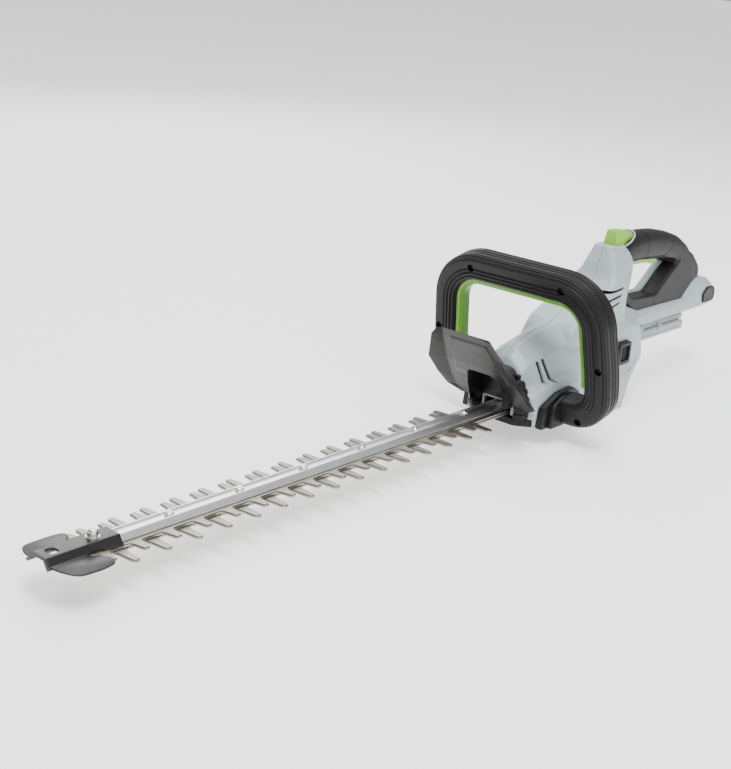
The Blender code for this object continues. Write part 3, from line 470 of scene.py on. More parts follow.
def soften(corners: Array, cut: Array | float, steps: int = 4) -> Array:
    """A closed outline with each corner replaced by a parabola that leaves its sides `cut` away.

    At share t the point is (1-t)^2 of the start, 2t(1-t) of the corner and t^2 of the end.

    Args:
        corners: Points (..., n, d).
        cut: Distance from each corner, one number or (..., n).
        steps: Segments in each corner.

    Returns:
        Points (..., n * (steps + 1), d).
    """
    corners = np.asarray(corners, float)
    before = np.roll(corners, 1, -2) - corners
    after = np.roll(corners, -1, -2) - corners
    reach_before = np.linalg.norm(before, axis=-1)
    reach_after = np.linalg.norm(after, axis=-1)
    cut = np.minimum(np.broadcast_to(cut, reach_before.shape), 0.49 * np.minimum(reach_before, reach_after))
    start = corners + before * (cut / np.maximum(reach_before, 1e-9))[..., None]
    end = corners + after * (cut / np.maximum(reach_after, 1e-9))[..., None]
    share = np.linspace(0, 1, steps + 1)[:, None]
    curve = ((1 - share) ** 2 * start[..., None, :] + 2 * share * (1 - share) * corners[..., None, :]
             + share**2 * end[..., None, :])
    return curve.reshape(*corners.shape[:-2], -1, corners.shape[-1])


def inset(outline: Array, distance: float) -> Array:
    """A closed outline (n, 2) moved inwards along its mitred normals."""
    along = np.roll(outline, -1, 0) - outline
    along /= np.maximum(np.linalg.norm(along, axis=1), 1e-9)[:, None]
    normal = np.stack([-along[:, 1], along[:, 0]], 1)
    mitre = normal + np.roll(normal, 1, 0)
    mitre /= np.maximum(np.linalg.norm(mitre, axis=1), 1e-9)[:, None]
    scale = distance / np.maximum((mitre * normal).sum(1), 0.45)
    area = (outline[:, 0] * np.roll(outline[:, 1], -1) - np.roll(outline[:, 0], -1) * outline[:, 1]).sum()
    return outline + mitre * (scale * np.sign(area))[:, None]


def slab(outline: Array, low: float, high: float, plane: Plane, edge: float = 0.0, steps: int = 3) -> Form:
    """A flat outline carried from low to high, with quarter-round edges.

    Ring k of an edge is inset by edge * (1 - sin a) at height edge * (1 - cos a) from the face.

    Args:
        outline: Closed outline (n, 2) in the plane.
        low: Start of the thickness.
        high: End of the thickness.
        plane: The plane that the outline lies in.
        edge: Radius of both edges.
        steps: Segments in each edge.

    Returns:
        The form.
    """
    outline = np.asarray(outline, float)
    angle = np.linspace(0, math.pi / 2, steps + 1) if edge else np.array([math.pi / 2])
    insets = edge * (1 - np.sin(angle))
    heights = low + edge * (1 - np.cos(angle))
    insets = np.concatenate([insets, insets[::-1]])
    heights = np.concatenate([heights, (low + high - heights)[::-1]])
    rings = [np.column_stack([inset(outline, d), np.full(len(outline), h)]) for d, h in zip(insets, heights)]
    return skin(plane.lay(np.array(rings)))


def along_x(section: Array, x: Array) -> Array:
    """A section (n, 2) of (y, z) points repeated at each place of a row x, as rings (m, n, 3)."""
    shape = (len(x), len(section))
    return np.stack([np.broadcast_to(part, shape) for part in (x[:, None], *section.T)], -1)


def block(low: tuple, high: tuple, edge: float = 0.0) -> Form:
    """A block between two corners, its upright edges rounded by edge, and its rims too."""
    (x0, y0, z0), (x1, y1, z1) = low, high
    corners = np.array([(x0, y0), (x1, y0), (x1, y1), (x0, y1)], float)
    outline = soften(corners, edge * 1.6, 4) if edge else corners
    return slab(outline, z0, z1, Plane.TOP, edge)


def ring_points(centre: tuple, radius: float, count: int, start: float = 0.0, sweep: float = 360.0) -> Array:
    """Points (count, 2) on a circle or arc, with angles in degrees. A full circle has no last point."""
    angle = np.radians(start + np.linspace(0, sweep, count, endpoint=sweep < 360.0))
    return np.column_stack([centre[0] + radius * np.cos(angle), centre[1] + radius * np.sin(angle)])


def turned(profile: Array, centre: tuple, sides: int = 0, flat: float = 0.0, count: int = 48) -> Form:
    """A turned solid about an upright axis, or a hexagon where sides and flat are given.

    The radius at an angle is the profile's radius, or the hexagon's where that is smaller:
    flat / cos(angle from the middle of the flat).

    Args:
        profile: (radius, height) pairs, from one end to the other.
        centre: The axis, as (x, y).
        sides: Flats round the solid, or 0.
        flat: Half of the width across the flats.
        count: Points round.

    Returns:
        The form.
    """
    profile = np.asarray(profile, float)
    angle = np.linspace(0, 2 * math.pi, count, endpoint=False)
    radius = np.repeat(profile[:, :1], count, 1)
    if sides:
        step = 2 * math.pi / sides
        radius = np.minimum(radius, flat / np.cos((angle + step / 2) % step - step / 2)[None])
    rings = np.stack([centre[0] + radius * np.cos(angle), centre[1] + radius * np.sin(angle),
                      np.repeat(profile[:, 1:], count, 1)], -1)
    return skin(rings)


def rounded_path(corners: Array, radii: list[float], count: int) -> Array:
    """A polyline whose inner corners are arcs of the given radii.

    Args:
        corners: Points (n, 2).
        radii: A radius for each inner corner.
        count: Points in each arc, and along each straight.

    Returns:
        Points (m, 2).
    """
    pieces = [corners[:1]]
    for before, corner, after, radius in zip(corners, corners[1:], corners[2:], radii):
        inward = (before - corner) / np.linalg.norm(before - corner)
        outward = (after - corner) / np.linalg.norm(after - corner)
        half = math.acos(float(np.clip(inward @ outward, -1, 1))) / 2
        middle = corner + (inward + outward) / np.linalg.norm(inward + outward) * radius / math.sin(half)
        start = corner + inward * radius / math.tan(half) - middle
        turn = np.linspace(0, 1, count)[:, None]
        end = corner + outward * radius / math.tan(half) - middle
        sweep = math.pi - 2 * half
        arc = (np.sin((1 - turn) * sweep) * start + np.sin(turn * sweep) * end) / math.sin(sweep)
        straight = np.linspace(0, 1, count // 2, endpoint=False)[1:, None]
        pieces += [pieces[-1][-1] * (1 - straight) + (middle + start) * straight, middle + arc]
    straight = np.linspace(0, 1, count // 2)[1:, None]
    pieces.append(pieces[-1][-1] * (1 - straight) + corners[-1] * straight)
    return np.vstack(pieces)


def path_normals(path: Array) -> Array:
    """Unit normals (n, 2) to the left of a path."""
    along = np.gradient(path, axis=0)
    along /= np.linalg.norm(along, axis=1)[:, None]
    return np.column_stack([-along[:, 1], along[:, 0]])


def carried(section: Array, centres: Array, first: Array, second: Array) -> Form:
    """A closed section (n, 2) or (m, n, 2) carried along centres (m, 3).

    A point is centre + a * first axis + b * second axis.
    """
    section = np.broadcast_to(section, (len(centres), *section.shape[-2:]))
    rings = (centres[:, None] + section[..., :1] * first[:, None] + section[..., 1:] * second[:, None])
    return skin(rings)


# ---------------------------------------------------------------- workshop
class Workshop:
    """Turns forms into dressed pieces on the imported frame."""

    def __init__(self) -> None:
        """Load the frame and find how far the design frame's origin is from its own."""
        self.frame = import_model()
        self.cad_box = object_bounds()
        gear_low, gear_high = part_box("drive_gear")
        blade_low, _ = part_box("lower_blade")
        self.shift = Vector(((gear_low.x + gear_high.x) / 2 - 0.672, 0.0, blade_low.z + 0.0015))
        self.voxel = 0.00135

    def piece(self, name: str, form: Form) -> bpy.types.Object:
        """A form as an object of the design frame, its doubles merged and its faces outwards."""
        mesh = bpy.data.meshes.new(name)
        mesh.from_pydata(form.points.tolist(), [], form.faces)
        bm = bmesh.new()
        bm.from_mesh(mesh)
        bmesh.ops.remove_doubles(bm, verts=bm.verts, dist=1e-6)
        bmesh.ops.recalc_face_normals(bm, faces=bm.faces)
        bm.to_mesh(mesh)
        bm.free()
        obj = bpy.data.objects.new(name, mesh)
        bpy.context.scene.collection.objects.link(obj)
        return obj

    def settle(self, obj: bpy.types.Object) -> bpy.types.Object:
        """Apply every modifier of an object."""
        graph = bpy.context.evaluated_depsgraph_get()
        graph.update()
        mesh = bpy.data.meshes.new_from_object(obj.evaluated_get(graph))
        obj.modifiers.clear()
        old, obj.data = obj.data, mesh
        bpy.data.meshes.remove(old)
        return obj

    def rounded(self, obj: bpy.types.Object, width: float, segments: int = 3,
                angle: float = 32.0) -> bpy.types.Object:
        """Round an object's sharp edges."""
        bevel = obj.modifiers.new("edges", "BEVEL")
        bevel.width = width
        bevel.segments = segments
        bevel.limit_method = "ANGLE"
        bevel.angle_limit = math.radians(angle)
        return self.settle(obj)

    def moulded(self, obj: bpy.types.Object, voxel: float, passes: int) -> bpy.types.Object:
        """Melt overlapping solids into one skin, with filleted joints.

        Args:
            obj: The solids.
            voxel: Cell size.
            passes: Smoothing passes.

        Returns:
            The same object.
        """
        remesh = obj.modifiers.new("melt", "REMESH")
        remesh.mode = "VOXEL"
        remesh.voxel_size = voxel
        smooth = obj.modifiers.new("ease", "SMOOTH")
        smooth.factor = 0.5
        smooth.iterations = passes
        return self.settle(obj)

    def cut(self, obj: bpy.types.Object, forms: list[Form],
            operation: str = "DIFFERENCE") -> bpy.types.Object:
        """Cut, join or intersect an object with forms, one after another.

        Args:
            obj: The object.
            forms: The other solids.
            operation: DIFFERENCE, UNION or INTERSECT.

        Returns:
            The same object.
        """
        cutters = [self.piece(f"cutter_{k}", form) for k, form in enumerate(forms)]
        for cutter in cutters:
            boolean = obj.modifiers.new("cut", "BOOLEAN")
            boolean.operation = operation
            boolean.solver = "MANIFOLD"
            boolean.object = cutter
        self.settle(obj)
        for cutter in cutters:
            bpy.data.objects.remove(cutter, do_unlink=True)
        return obj

    def copy(self, obj: bpy.types.Object, name: str) -> bpy.types.Object:
        """A second object with its own copy of the mesh."""
        made = bpy.data.objects.new(name, obj.data.copy())
        bpy.context.scene.collection.objects.link(made)
        return made

    def place(self, obj: bpy.types.Object, body: str, replaces: tuple[str, ...], slot: Slot, finish: Finish,
              sharp: float = 35.0) -> bpy.types.Object:
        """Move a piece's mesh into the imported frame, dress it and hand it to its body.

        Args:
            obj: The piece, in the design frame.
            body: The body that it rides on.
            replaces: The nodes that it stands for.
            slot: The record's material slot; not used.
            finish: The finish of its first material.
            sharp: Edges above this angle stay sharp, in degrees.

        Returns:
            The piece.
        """
        mesh = obj.data
        coordinates = np.empty(len(mesh.vertices) * 3)
        mesh.vertices.foreach_get("co", coordinates)
        mesh.vertices.foreach_set("co", (coordinates.reshape(-1, 3) + np.array(self.shift)).ravel())
        mesh.shade_smooth()
        mesh.set_sharp_from_angle(angle=math.radians(sharp))
        if mesh.materials:
            mesh.materials[0] = finish.material()
        else:
            mesh.materials.append(finish.material())
        mesh.update()
        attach(obj, body)
        if replaces:
            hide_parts(*replaces)
        LOG.info("%s: %d faces on %s", obj.name, len(mesh.polygons), body)
        return obj

    def dress(self, names: tuple[str, ...], finish: Finish) -> None:
        """Give CAD nodes a finish, and leave their meshes as they are."""
        for name in names:
            mesh = self.frame["nodes"][name].data
            mesh.materials.clear()
            mesh.materials.append(finish.material())
            LOG.info("%s: dressed in %s", name, finish.value.name)


# ---------------------------------------------------------------- cutting bar
@dataclass
class CuttingBar:
    """The two toothed blades, the guide rail over them, their bolts and the steel nose."""

    shop: Workshop
    pitch: float = 0.038
    teeth: int = 15
    half_width: float = 0.017
    thickness: float = 0.0029
    front: float = -0.036
    lower_z: float = -0.0015
    upper_z: float = 0.0017
    rail_z: float = 0.0049
    rail_top: float = 0.0110
    nose_bolt_x: float = -0.017
    bolt_x: tuple[float, ...] = tuple(0.0735 + 0.0921 * k for k in range(6))

    def build(self) -> None:
        """Build and dress the whole bar."""
        long_tooth = np.vstack([[(0.0094, 0.0170), (0.0072, 0.0182), (0.0059, 0.0212), (0.0053, 0.0250),
                                 (0.0044, 0.0370)], ring_points((0, 0.0385), 0.0042, 7, 2, 80)])
        short_tooth = np.array([(0.0090, 0.0170), (0.0068, 0.0181), (0.0056, 0.0210), (0.0050, 0.0240),
                                (0.0037, 0.0322), (0.0033, 0.0332), (0.0024, 0.0335)])
        self.blade("lower_blade", long_tooth, 0.0, self.lower_z, Slot.BLADE)
        self.blade("upper_blade", short_tooth, -self.pitch / 2, self.upper_z, Slot.BLADE)
        self.rail()
        for k, x in enumerate(self.bolt_x):
            self.bolt(f"blade_bolt_{k + 1}", x, 0.0093, 0.0034)
        self.bolt("nose_bolt", self.nose_bolt_x, 0.0137, 0.0078)
        self.nose()

    def blade_edge(self, tooth: Array, first_x: float) -> Array:
        """A blade's outline: the tooth repeated along both edges, and the yoke at the rear.

        Args:
            tooth: The rear half of one tooth, root first, as (x, y) about its middle.
            first_x: Where the first tooth's middle is.

        Returns:
            The closed outline (n, 2).
        """
        one = np.vstack([tooth * (-1, 1), tooth[::-1]])
        places = first_x + self.pitch * np.arange(self.teeth)
        row = (one[None] + np.stack([places, 0 * places], -1)[:, None]).reshape(-1, 2)
        nose = np.array([(self.front, 0.007), (self.front + 0.004, self.half_width - 0.004)])
        yoke = np.array([(0.6368, 0.017), (0.6488, 0.025), (0.6548, 0.0305), (0.6892, 0.0305),
                         (0.6952, 0.0245)])
        edge = np.vstack([nose, row, yoke])
        return np.vstack([edge, edge[::-1] * (1, -1)])

    def slot(self, x: float) -> Form:
        """The cutter for one lengthwise slot with round ends."""
        ends = [ring_points((x + 0.0099, 0), 0.0028, 9, -90, 180),
                ring_points((x - 0.0099, 0), 0.0028, 9, 90, 180)]
        return slab(np.vstack(ends), self.lower_z - 0.002, self.rail_z, Plane.TOP)

    def blade(self, name: str, tooth: Array, first_x: float, bottom: float, slot: Slot) -> None:
        """One blade, its flanks ground to a slope above and eased below.

        Ring k of the edge is the outline inset by a set distance at a set height.
        """
        outline = self.blade_edge(tooth, first_x)
        steps = [(0.0005, 0.0), (0.0001, 0.0003), (0.0, 0.0006), (0.0, 0.0021), (0.0007, self.thickness)]
        rings = [np.column_stack([inset(outline, d), np.full(len(outline), bottom + h)]) for d, h in steps]
        obj = self.shop.piece(name + "_sheet", skin(np.array(rings)))
        self.shop.cut(obj, [self.slot(x) for x in (self.nose_bolt_x, *self.bolt_x)])
        self.shop.cut(obj, [block((0.6538, -0.0261, bottom - 0.001), (0.6902, 0.0261, bottom + 0.004))])
        for finish in (Finish.BLADE_FACE, Finish.BLADE_EDGE, Finish.BLADE_GROUND):
            obj.data.materials.append(finish.material())
        normals = np.empty(len(obj.data.polygons) * 3)
        obj.data.polygons.foreach_get("normal", normals)
        upright = normals.reshape(-1, 3)[:, 2]
        kinds = np.where(np.abs(upright) > 0.98, 0, np.where(upright > 0.2, 2, 1))
        obj.data.polygons.foreach_set("material_index", kinds.astype(np.int32))
        self.shop.place(obj, name, (name,), slot, Finish.BLADE_FACE, 20.0)

    def rail(self) -> None:
        """The trapezoid guide bar: a softened section carried from the nose to the gearbox."""
        half = np.array([(0.0120, self.rail_z), (0.0120, 0.0061), (0.0070, self.rail_top),
                         (0.0053, self.rail_top), (0.0047, 0.0091)])
        section = soften(np.vstack([half, half[::-1] * (-1, 1)]), 0.0004, 3)
        x = np.linspace(-0.018, 0.638, 12)
        obj = self.shop.piece("guide_rail_bar", skin(along_x(section, x)))
        self.shop.place(obj, "housing", ("guide_rail",), Slot.ALUMINIUM, Finish.RAIL, 25.0)

    def bolt(self, name: str, x: float, nut_bottom: float, nut_height: float) -> None:
        """A bolt: domed head below the blades, shank, washer, hexagon nut and lock collar."""
        top = nut_bottom + nut_height
        head_top = self.lower_z - 0.0003
        shank = turned([(0.0001, head_top - 0.0027), (0.0022, head_top - 0.0026),
                        (0.0036, head_top - 0.0019), (0.0044, head_top - 0.0007), (0.0045, head_top),
                        (0.0023, head_top), (0.0023, top + 0.0001), (0.0019, top + 0.0006),
                        (0.0001, top + 0.0006)], (x, 0), count=24)
        wide = nut_height > 0.005
        flat = 0.0042 if not wide else 0.0046
        body_top = top - (0.0018 if wide else 0.0007)
        nut = turned([(0.0024, nut_bottom), (flat * 0.98, nut_bottom), (flat * 1.16, nut_bottom + 0.0005),
                      (flat * 1.16, body_top - 0.0006), (flat * 0.98, body_top)], (x, 0), 6, flat, 48)
        collar = turned([(flat * 0.96, body_top - 0.0002), (flat * 0.95, top - 0.0004), (flat * 0.86, top),
                         (0.0026, top), (0.0024, top - 0.0004),
                         (0.0024, body_top - 0.0002)], (x, 0), count=40)
        form = shank + nut + collar
        if wide:
            form = form + turned([(0.0024, nut_bottom - 0.0003), (0.0066, nut_bottom - 0.0003),
                                  (0.0068, nut_bottom), (0.0066, nut_bottom + 0.0006),
                                  (0.0024, nut_bottom + 0.0006)],
                                 (x, 0), count=40)
        obj = self.shop.piece(name + "_set", form)
        self.shop.place(obj, "housing", (name,), Slot.ZINC, Finish.ZINC, 28.0)

    def nose(self) -> None:
        """The folded nose: a channel over the rail, two drooping wings and a dimpled hole."""
        rise = np.array([(0.0165, 0.0048), (0.0144, 0.0064), (0.0113, 0.0112), (0.0100, 0.0134)])
        outer = soften(np.vstack([rise, rise[::-1] * (-1, 1),
                                  (rise[::-1] * (-1, 1) + (0.0022, -0.0021))[::-1],
                                  rise[::-1] + (-0.0022, -0.0021)]), 0.0009, 4)
        x = np.linspace(-0.0770, 0.0057, 20)
        channel = self.shop.piece("nose_bracket_folded", skin(along_x(outer, x)))
        channel_room = block((-0.021, -0.0123, -0.002), (0.02, 0.0123, 0.0090))
        wing_corners = np.array([(-0.0745, 0.0130), (-0.0735, 0.0250), (-0.0640, 0.0400), (-0.0360, 0.0415),
                                 (-0.0215, 0.0390), (-0.0195, 0.0300), (-0.0340, 0.0170),
                                 (-0.0340, 0.0130)])
        outline = soften(wing_corners, np.array([0.001, 0.008, 0.011, 0.009, 0.005, 0.004, 0.006, 0.001]), 6)
        wing = slab(outline, 0.0048, 0.0068, Plane.TOP, 0.0007, 3)
        across = np.clip((np.abs(wing.points[:, 1]) - 0.020) / 0.0215, 0, 1)
        wing.points[:, 2] -= 0.0026 * across**2
        self.shop.cut(channel, [wing, wing.mirrored()], "UNION")
        gap = slab(soften(np.array([(-0.0330, 0.0090), (-0.0330, 0.0040), (-0.0155, 0.0040),
                                    (-0.0185, 0.0086)]),
                          0.0018), 0.0132, 0.0200, Plane.SIDE)
        hole = turned([(0.0052, 0.0), (0.0052, 0.0118), (0.0068, 0.0150)], (-0.062, 0))
        self.shop.cut(channel, [channel_room, gap, gap.mirrored(), hole])
        self.shop.rounded(channel, 0.00035, 2, 40)
        self.shop.place(channel, "housing", ("nose_bracket",), Slot.DARK_STEEL, Finish.NOSE_COAT, 30.0)


# ---------------------------------------------------------------- hand guard
@dataclass
class HandGuard:
    """The swept shield in front of the hand, with its arch over the rail and its ribbed mounts."""

    shop: Workshop
    wall: float = 0.0028
    heights: tuple[float, ...] = (0.1098, 0.1000, 0.0640, 0.0400, 0.0210, 0.0120)
    centre_x: tuple[float, ...] = (0.5200, 0.5262, 0.5520, 0.5720, 0.5880, 0.5945)
    crease_y: tuple[float, ...] = (0.0335, 0.0360, 0.0455, 0.0510, 0.0540, 0.0400)
    edge_y: tuple[float, ...] = (0.0420, 0.0465, 0.0645, 0.0655, 0.0650, 0.0480)
    forward: tuple[float, ...] = (0.0080, 0.0090, 0.0120, 0.0090, 0.0040, 0.0010)

    def build(self) -> None:
        """Build the shield and its mounts."""
        self.shield()
        self.mount("guard_mount_left", -1)
        self.mount("guard_mount_right", 1)

    def row_value(self, values: tuple[float, ...], z: Array) -> Array:
        """A measure of the shield at heights z."""
        return np.interp(-z, [-height for height in self.heights], values)

    def surface_x(self, y: Array, z: Array) -> Array:
        """The shield's face: its centre line, with each side swept forward beyond a crease.

        x = centre(z) - forward(z) * s, where s rises from 0 at the crease to 1 at the edge, less the
        raised middle panel.
        """
        crease = self.row_value(self.crease_y, z)
        edge = self.row_value(self.edge_y, z)
        swept = np.clip((np.abs(y) - crease) / (edge - crease), 0, 1)
        panel_half = np.interp(z, [0.050, 0.098], [0.0400, 0.0270])
        inside = np.clip((panel_half - np.abs(y)) / 0.0022, 0, 1) * np.clip((0.1005 - z) / 0.0022, 0, 1)
        panel = inside * np.clip((z - 0.046) / 0.004, 0, 1)
        return self.row_value(self.centre_x, z) - self.row_value(self.forward, z) * swept - 0.0014 * panel

    def shield(self) -> None:
        """The shell as a grid over (share across, height), thickened, with a hooded arch cut through it, and
        a black plate behind the arch as painted shade.
        """
        z = np.unique(np.concatenate([np.linspace(0.0120, 0.1098, 64), self.heights]))[::-1]
        share = np.linspace(-1, 1, 97)
        grid_z = np.broadcast_to(z[:, None], (len(z), len(share)))
        y = self.row_value(self.edge_y, grid_z) * share
        corner = np.clip((np.abs(share) - 0.80) / 0.20, 0, 1) ** 2
        lowered = grid_z - 0.0045 * corner * np.clip((grid_z - 0.1000) / 0.0098, 0, 1)
        front = np.stack([self.surface_x(y, lowered), y, lowered], -1)
        back = front + (self.wall * 0.85, 0.0, -self.wall * 0.5)
        form = skin(np.concatenate([front, back[:, ::-1]], axis=1))
        obj = self.shop.piece("hand_guard_shield", form)
        arch = np.vstack([[(0.0235, -0.01), (0.0235, 0.034)],
                          soften(np.array([(0.0235, 0.034), (0.0200, 0.0560), (-0.0200, 0.0560),
                                           (-0.0235, 0.034)]),
                                 0.009, 6)[6:-6], [(-0.0235, 0.034), (-0.0235, -0.01)]])
        outer = inset(arch, -0.0028)
        hood = slab(outer, 0.5610, 0.6020, Plane.FRONT)
        top_lean = np.clip((hood.points[:, 2] - 0.010) / 0.046, 0, 1)
        near = hood.points[:, 0] < 0.58
        hood.points[near, 0] += (0.0300 * (1 - top_lean) - 0.0025)[near]
        self.shop.cut(obj, [hood], "UNION")
        below = block((0.5, -0.1, -0.1), (0.7, 0.1, 0.0118))
        self.shop.cut(obj, [slab(arch, 0.50, 0.66, Plane.FRONT), below])
        self.shop.rounded(obj, 0.0006, 2, 50)
        self.shop.place(obj, "housing", ("hand_guard",), Slot.BLACK, Finish.GUARD_BLACK, 24.0)
        # Painted shade: a black plate with no part of its own stands behind the arch, in front of the
        # housing's nose, to show the shadow there.
        painted_shade_block = block((0.5975, -0.0300, 0.0165), (0.6030, 0.0300, 0.0520), 0.002)
        throat = self.shop.piece("guard_throat_painted_shade", painted_shade_block)
        self.shop.place(throat, "housing", (), Slot.BLACK, Finish.BLACK, 30.0)

    def mount(self, name: str, side: int) -> None:
        """One mount: a block whose outer faces carry level ribs.

        The section's points move out by a rib height that follows a squared-off wave of z.
        """
        corners = np.array([(0.5915, 0.0300), (0.6035, 0.0250), (0.6120, 0.0280), (0.6120, 0.0400),
                            (0.6050, 0.0430), (0.5960, 0.0410)])
        outline = soften(corners, 0.0025, 4)
        z = np.linspace(-0.0020, 0.0480, 101)
        wave = 1 / (1 + np.exp(-9 * np.sin(2 * math.pi * z / 0.0105)))
        shrink = np.clip((z - 0.030) / 0.018, 0, 1) ** 2
        rings = [np.column_stack([inset(outline, 0.0012 * (1 - w) + 0.0030 * s), np.full(len(outline), h)])
                 for w, s, h in zip(wave, shrink, z)]
        form = skin(np.array(rings))
        form.points[:, 0] -= 0.012 * np.clip((form.points[:, 2] - 0.018) / 0.030, 0, 1)
        form.points[:, 1] *= side
        obj = self.shop.piece(name + "_ribbed", form)
        self.shop.place(obj, "housing", (name,), Slot.RUBBER, Finish.BLACK, 30.0)


# ---------------------------------------------------------------- front handle
@dataclass
class FrontHandle:
    """The loop handle: two ridged shells, the green bail inside them, screws and clamp brackets."""

    shop: Workshop
    tilt: float = math.radians(12.15)
    base_x: float = 0.6427
    half_bar: float = 0.0162
    depth: float = 0.036
    groove_depth: float = 0.0015
    bracket_outer: float = 0.0652
    travel: float = 0.004
    grooves: tuple[float, ...] = (-0.0175, -0.0125, -0.0080, 0.0045, 0.0090, 0.0135, 0.0205, 0.0265)

    def build(self) -> None:
        """Build the shells, the bail, the screws and the brackets."""
        self.shell("loop_front_shell", True)
        self.shell("loop_rear_shell", False)
        self.bail()
        for k, (y, up) in enumerate(self.screw_places()):
            self.screw(f"loop_screw_{k + 1}", y, up)
        for name, side in (("loop_bracket_left", -1), ("loop_bracket_right", 1)):
            self.bracket(name, side)

    def screw_places(self) -> list[tuple[float, float]]:
        """The five screws in the front face, as (y, up) points."""
        stretch = 1 / math.cos(self.tilt)
        return [(0.0647, 0.1612 * stretch), (-0.0647, 0.1612 * stretch), (0.117, 0.0737 * stretch),
                (-0.117, 0.0737 * stretch), (-0.0898, 0.0003)]

    def stand(self, points: Array) -> Array:
        """Points (y, up, depth) of the tilted handle as x, y, z.

        x = base + depth cos t - up sin t, and z = up cos t + depth sin t.
        """
        across, up, back = np.moveaxis(points, -1, 0)
        cos, sin = math.cos(self.tilt), math.sin(self.tilt)
        return np.stack([self.base_x + back * cos - up * sin, across, up * cos + back * sin], -1)

    def path(self) -> Array:
        """The middle line of the loop, right side to left, as (y, up) points."""
        half = np.array([(self.bracket_outer + 0.0003, 0.0055), (0.1109, 0.0055), (0.1122, 0.060),
                         (0.1038, 0.1650)])
        corners = np.vstack([half, half[::-1] * (-1, 1)])
        return rounded_path(corners, [0.033, 0.30, 0.050, 0.050, 0.30, 0.033], 22)

    def swept(self, section: Array, path: Array) -> Form:
        """A section (n, 2) or (m, n, 2) of (inward, depth) points carried along a path (m, 2)."""
        normal = path_normals(path)
        section = np.broadcast_to(section, (len(path), *section.shape[-2:]))
        flat = path[:, None] + section[..., :1] * normal[:, None]
        return skin(self.stand(np.concatenate([flat, section[..., 1:]], -1)))

    def shell(self, node: str, is_front: bool) -> None:
        """One shell: half of the rounded bar, its outer side grooved lengthwise.

        Each point of the section moves inwards by groove depth * fade * sum of exp(-(s - s_k)^2 / w^2),
        where s is the distance round the section from the middle of the front face.
        """
        half, middle = self.half_bar, self.depth / 2
        corners = np.array([(half, middle), (half, 0.0), (-half, 0.0), (-half, middle)])
        dense = soften(corners, np.array([0.0, 0.0085, 0.0125 if is_front else 0.0155, 0.0]), 24)
        keep = np.r_[True, np.linalg.norm(np.diff(dense, axis=0), axis=1) > 1e-7]
        dense = dense[keep]
        reach = np.r_[0, np.cumsum(np.linalg.norm(np.diff(dense, axis=0), axis=1))]
        even = np.linspace(0, reach[-1], 120)
        section = np.column_stack([np.interp(even, reach, dense[:, 0]), np.interp(even, reach, dense[:, 1])])
        along = np.gradient(section, axis=0)
        inward = np.column_stack([-along[:, 1], along[:, 0]]) / np.linalg.norm(along, axis=1)[:, None]
        inward *= np.sign((inward * (np.array([0, middle]) - section)).sum(1))[:, None]
        spot = even - reach[np.argmin(np.abs(dense[:, 0]))]
        bumps = np.exp(-(((spot[:, None] - np.array(self.grooves)) / 0.00100) ** 2)).sum(1)
        path = self.path()
        fade = np.clip((path[:, 1] - 0.012) / 0.020, 0, 1)[:, None, None]
        depth_of = fade * (self.groove_depth * bumps)[None, :, None]
        rings = section[None] + depth_of * inward[None]
        gap = 0.0002
        rings[..., 1] = np.minimum(rings[..., 1], middle - gap)
        if not is_front:
            rings[..., 1] = self.depth - rings[..., 1]
        obj = self.shop.piece(node + "_ridged", self.swept(rings, path))
        self.mark(obj, spot, len(path), fade[:, 0, 0])
        cutters = [self.bail_form(0.004, 0.0003, self.travel + 0.0013)]
        if is_front:
            cutters += [slab(ring_points((y, up), 0.0047, 32), -0.01, 0.0075, Plane.FRONT)
                        for y, up in self.screw_places()]
            for cutter in cutters[1:]:
                cutter.points[:] = self.stand(cutter.points[:, [1, 2, 0]])
        self.shop.cut(obj, cutters)
        self.shop.place(obj, "housing", (node,), Slot.BLACK, Finish.LOOP_BLACK, 50.0)

    def mark(self, obj: bpy.types.Object, spot: Array, rows: int, fade: Array) -> None:
        """Store the distance round the section, and where the outer side's fine hatching shows."""
        around = obj.data.attributes.new("around", "FLOAT", "POINT")
        hatched = obj.data.attributes.new("hatched", "FLOAT", "POINT")
        band = np.clip((spot - 0.0285) / 0.001, 0, 1)
        around.data.foreach_set("value", np.tile(spot, rows).astype(np.float32))
        hatched.data.foreach_set("value", (band[None] * fade[:, None]).ravel().astype(np.float32))

    def bail_path(self, low: float) -> Array:
        """The part of the middle line above a height, its ends cut level."""
        path = self.path()
        path = path[path[:, 1] > low + 0.001]
        return np.vstack([[(path[0, 0], low)], path, [(path[-1, 0], low)]])

    def bail_form(self, proud: float, gap: float, back: float) -> Form:
        """The bail, or its room in the shells where the margins are above 0.

        Args:
            proud: Extra reach towards the middle of the loop.
            gap: Extra thickness on its front and back.
            back: Extra reach into the bar.

        Returns:
            The form.
        """
        inner, outer = self.half_bar + 0.0070 + proud, self.half_bar - 0.0045 - back
        near, far = 0.0058 - gap, 0.026 + gap
        if proud:
            section = np.array([(outer, near), (inner, near), (inner, far), (outer, far)])
        else:
            corners = np.array([(outer, near), (inner - 0.0028, near), (inner - 0.0016, near + 0.0022),
                                (inner, near + 0.0030), (inner, far - 0.003),
                                (inner - 0.0016, far - 0.0022), (inner - 0.0028, far), (outer, far)])
            cut = np.array([0.0003, 0.0012, 0.0008, 0.0016])
            section = soften(corners, np.concatenate([cut, cut[::-1]]), 4)
        return self.swept(section, self.bail_path(0.0435 if proud else 0.0455))

    def bail(self) -> None:
        """The green bail."""
        obj = self.shop.piece("front_bail_bar", self.bail_form(0.0, 0.0, 0.0))
        self.shop.place(obj, "front_bail", ("front_bail",), Slot.GREEN, Finish.BAIL_GREEN, 32.0)

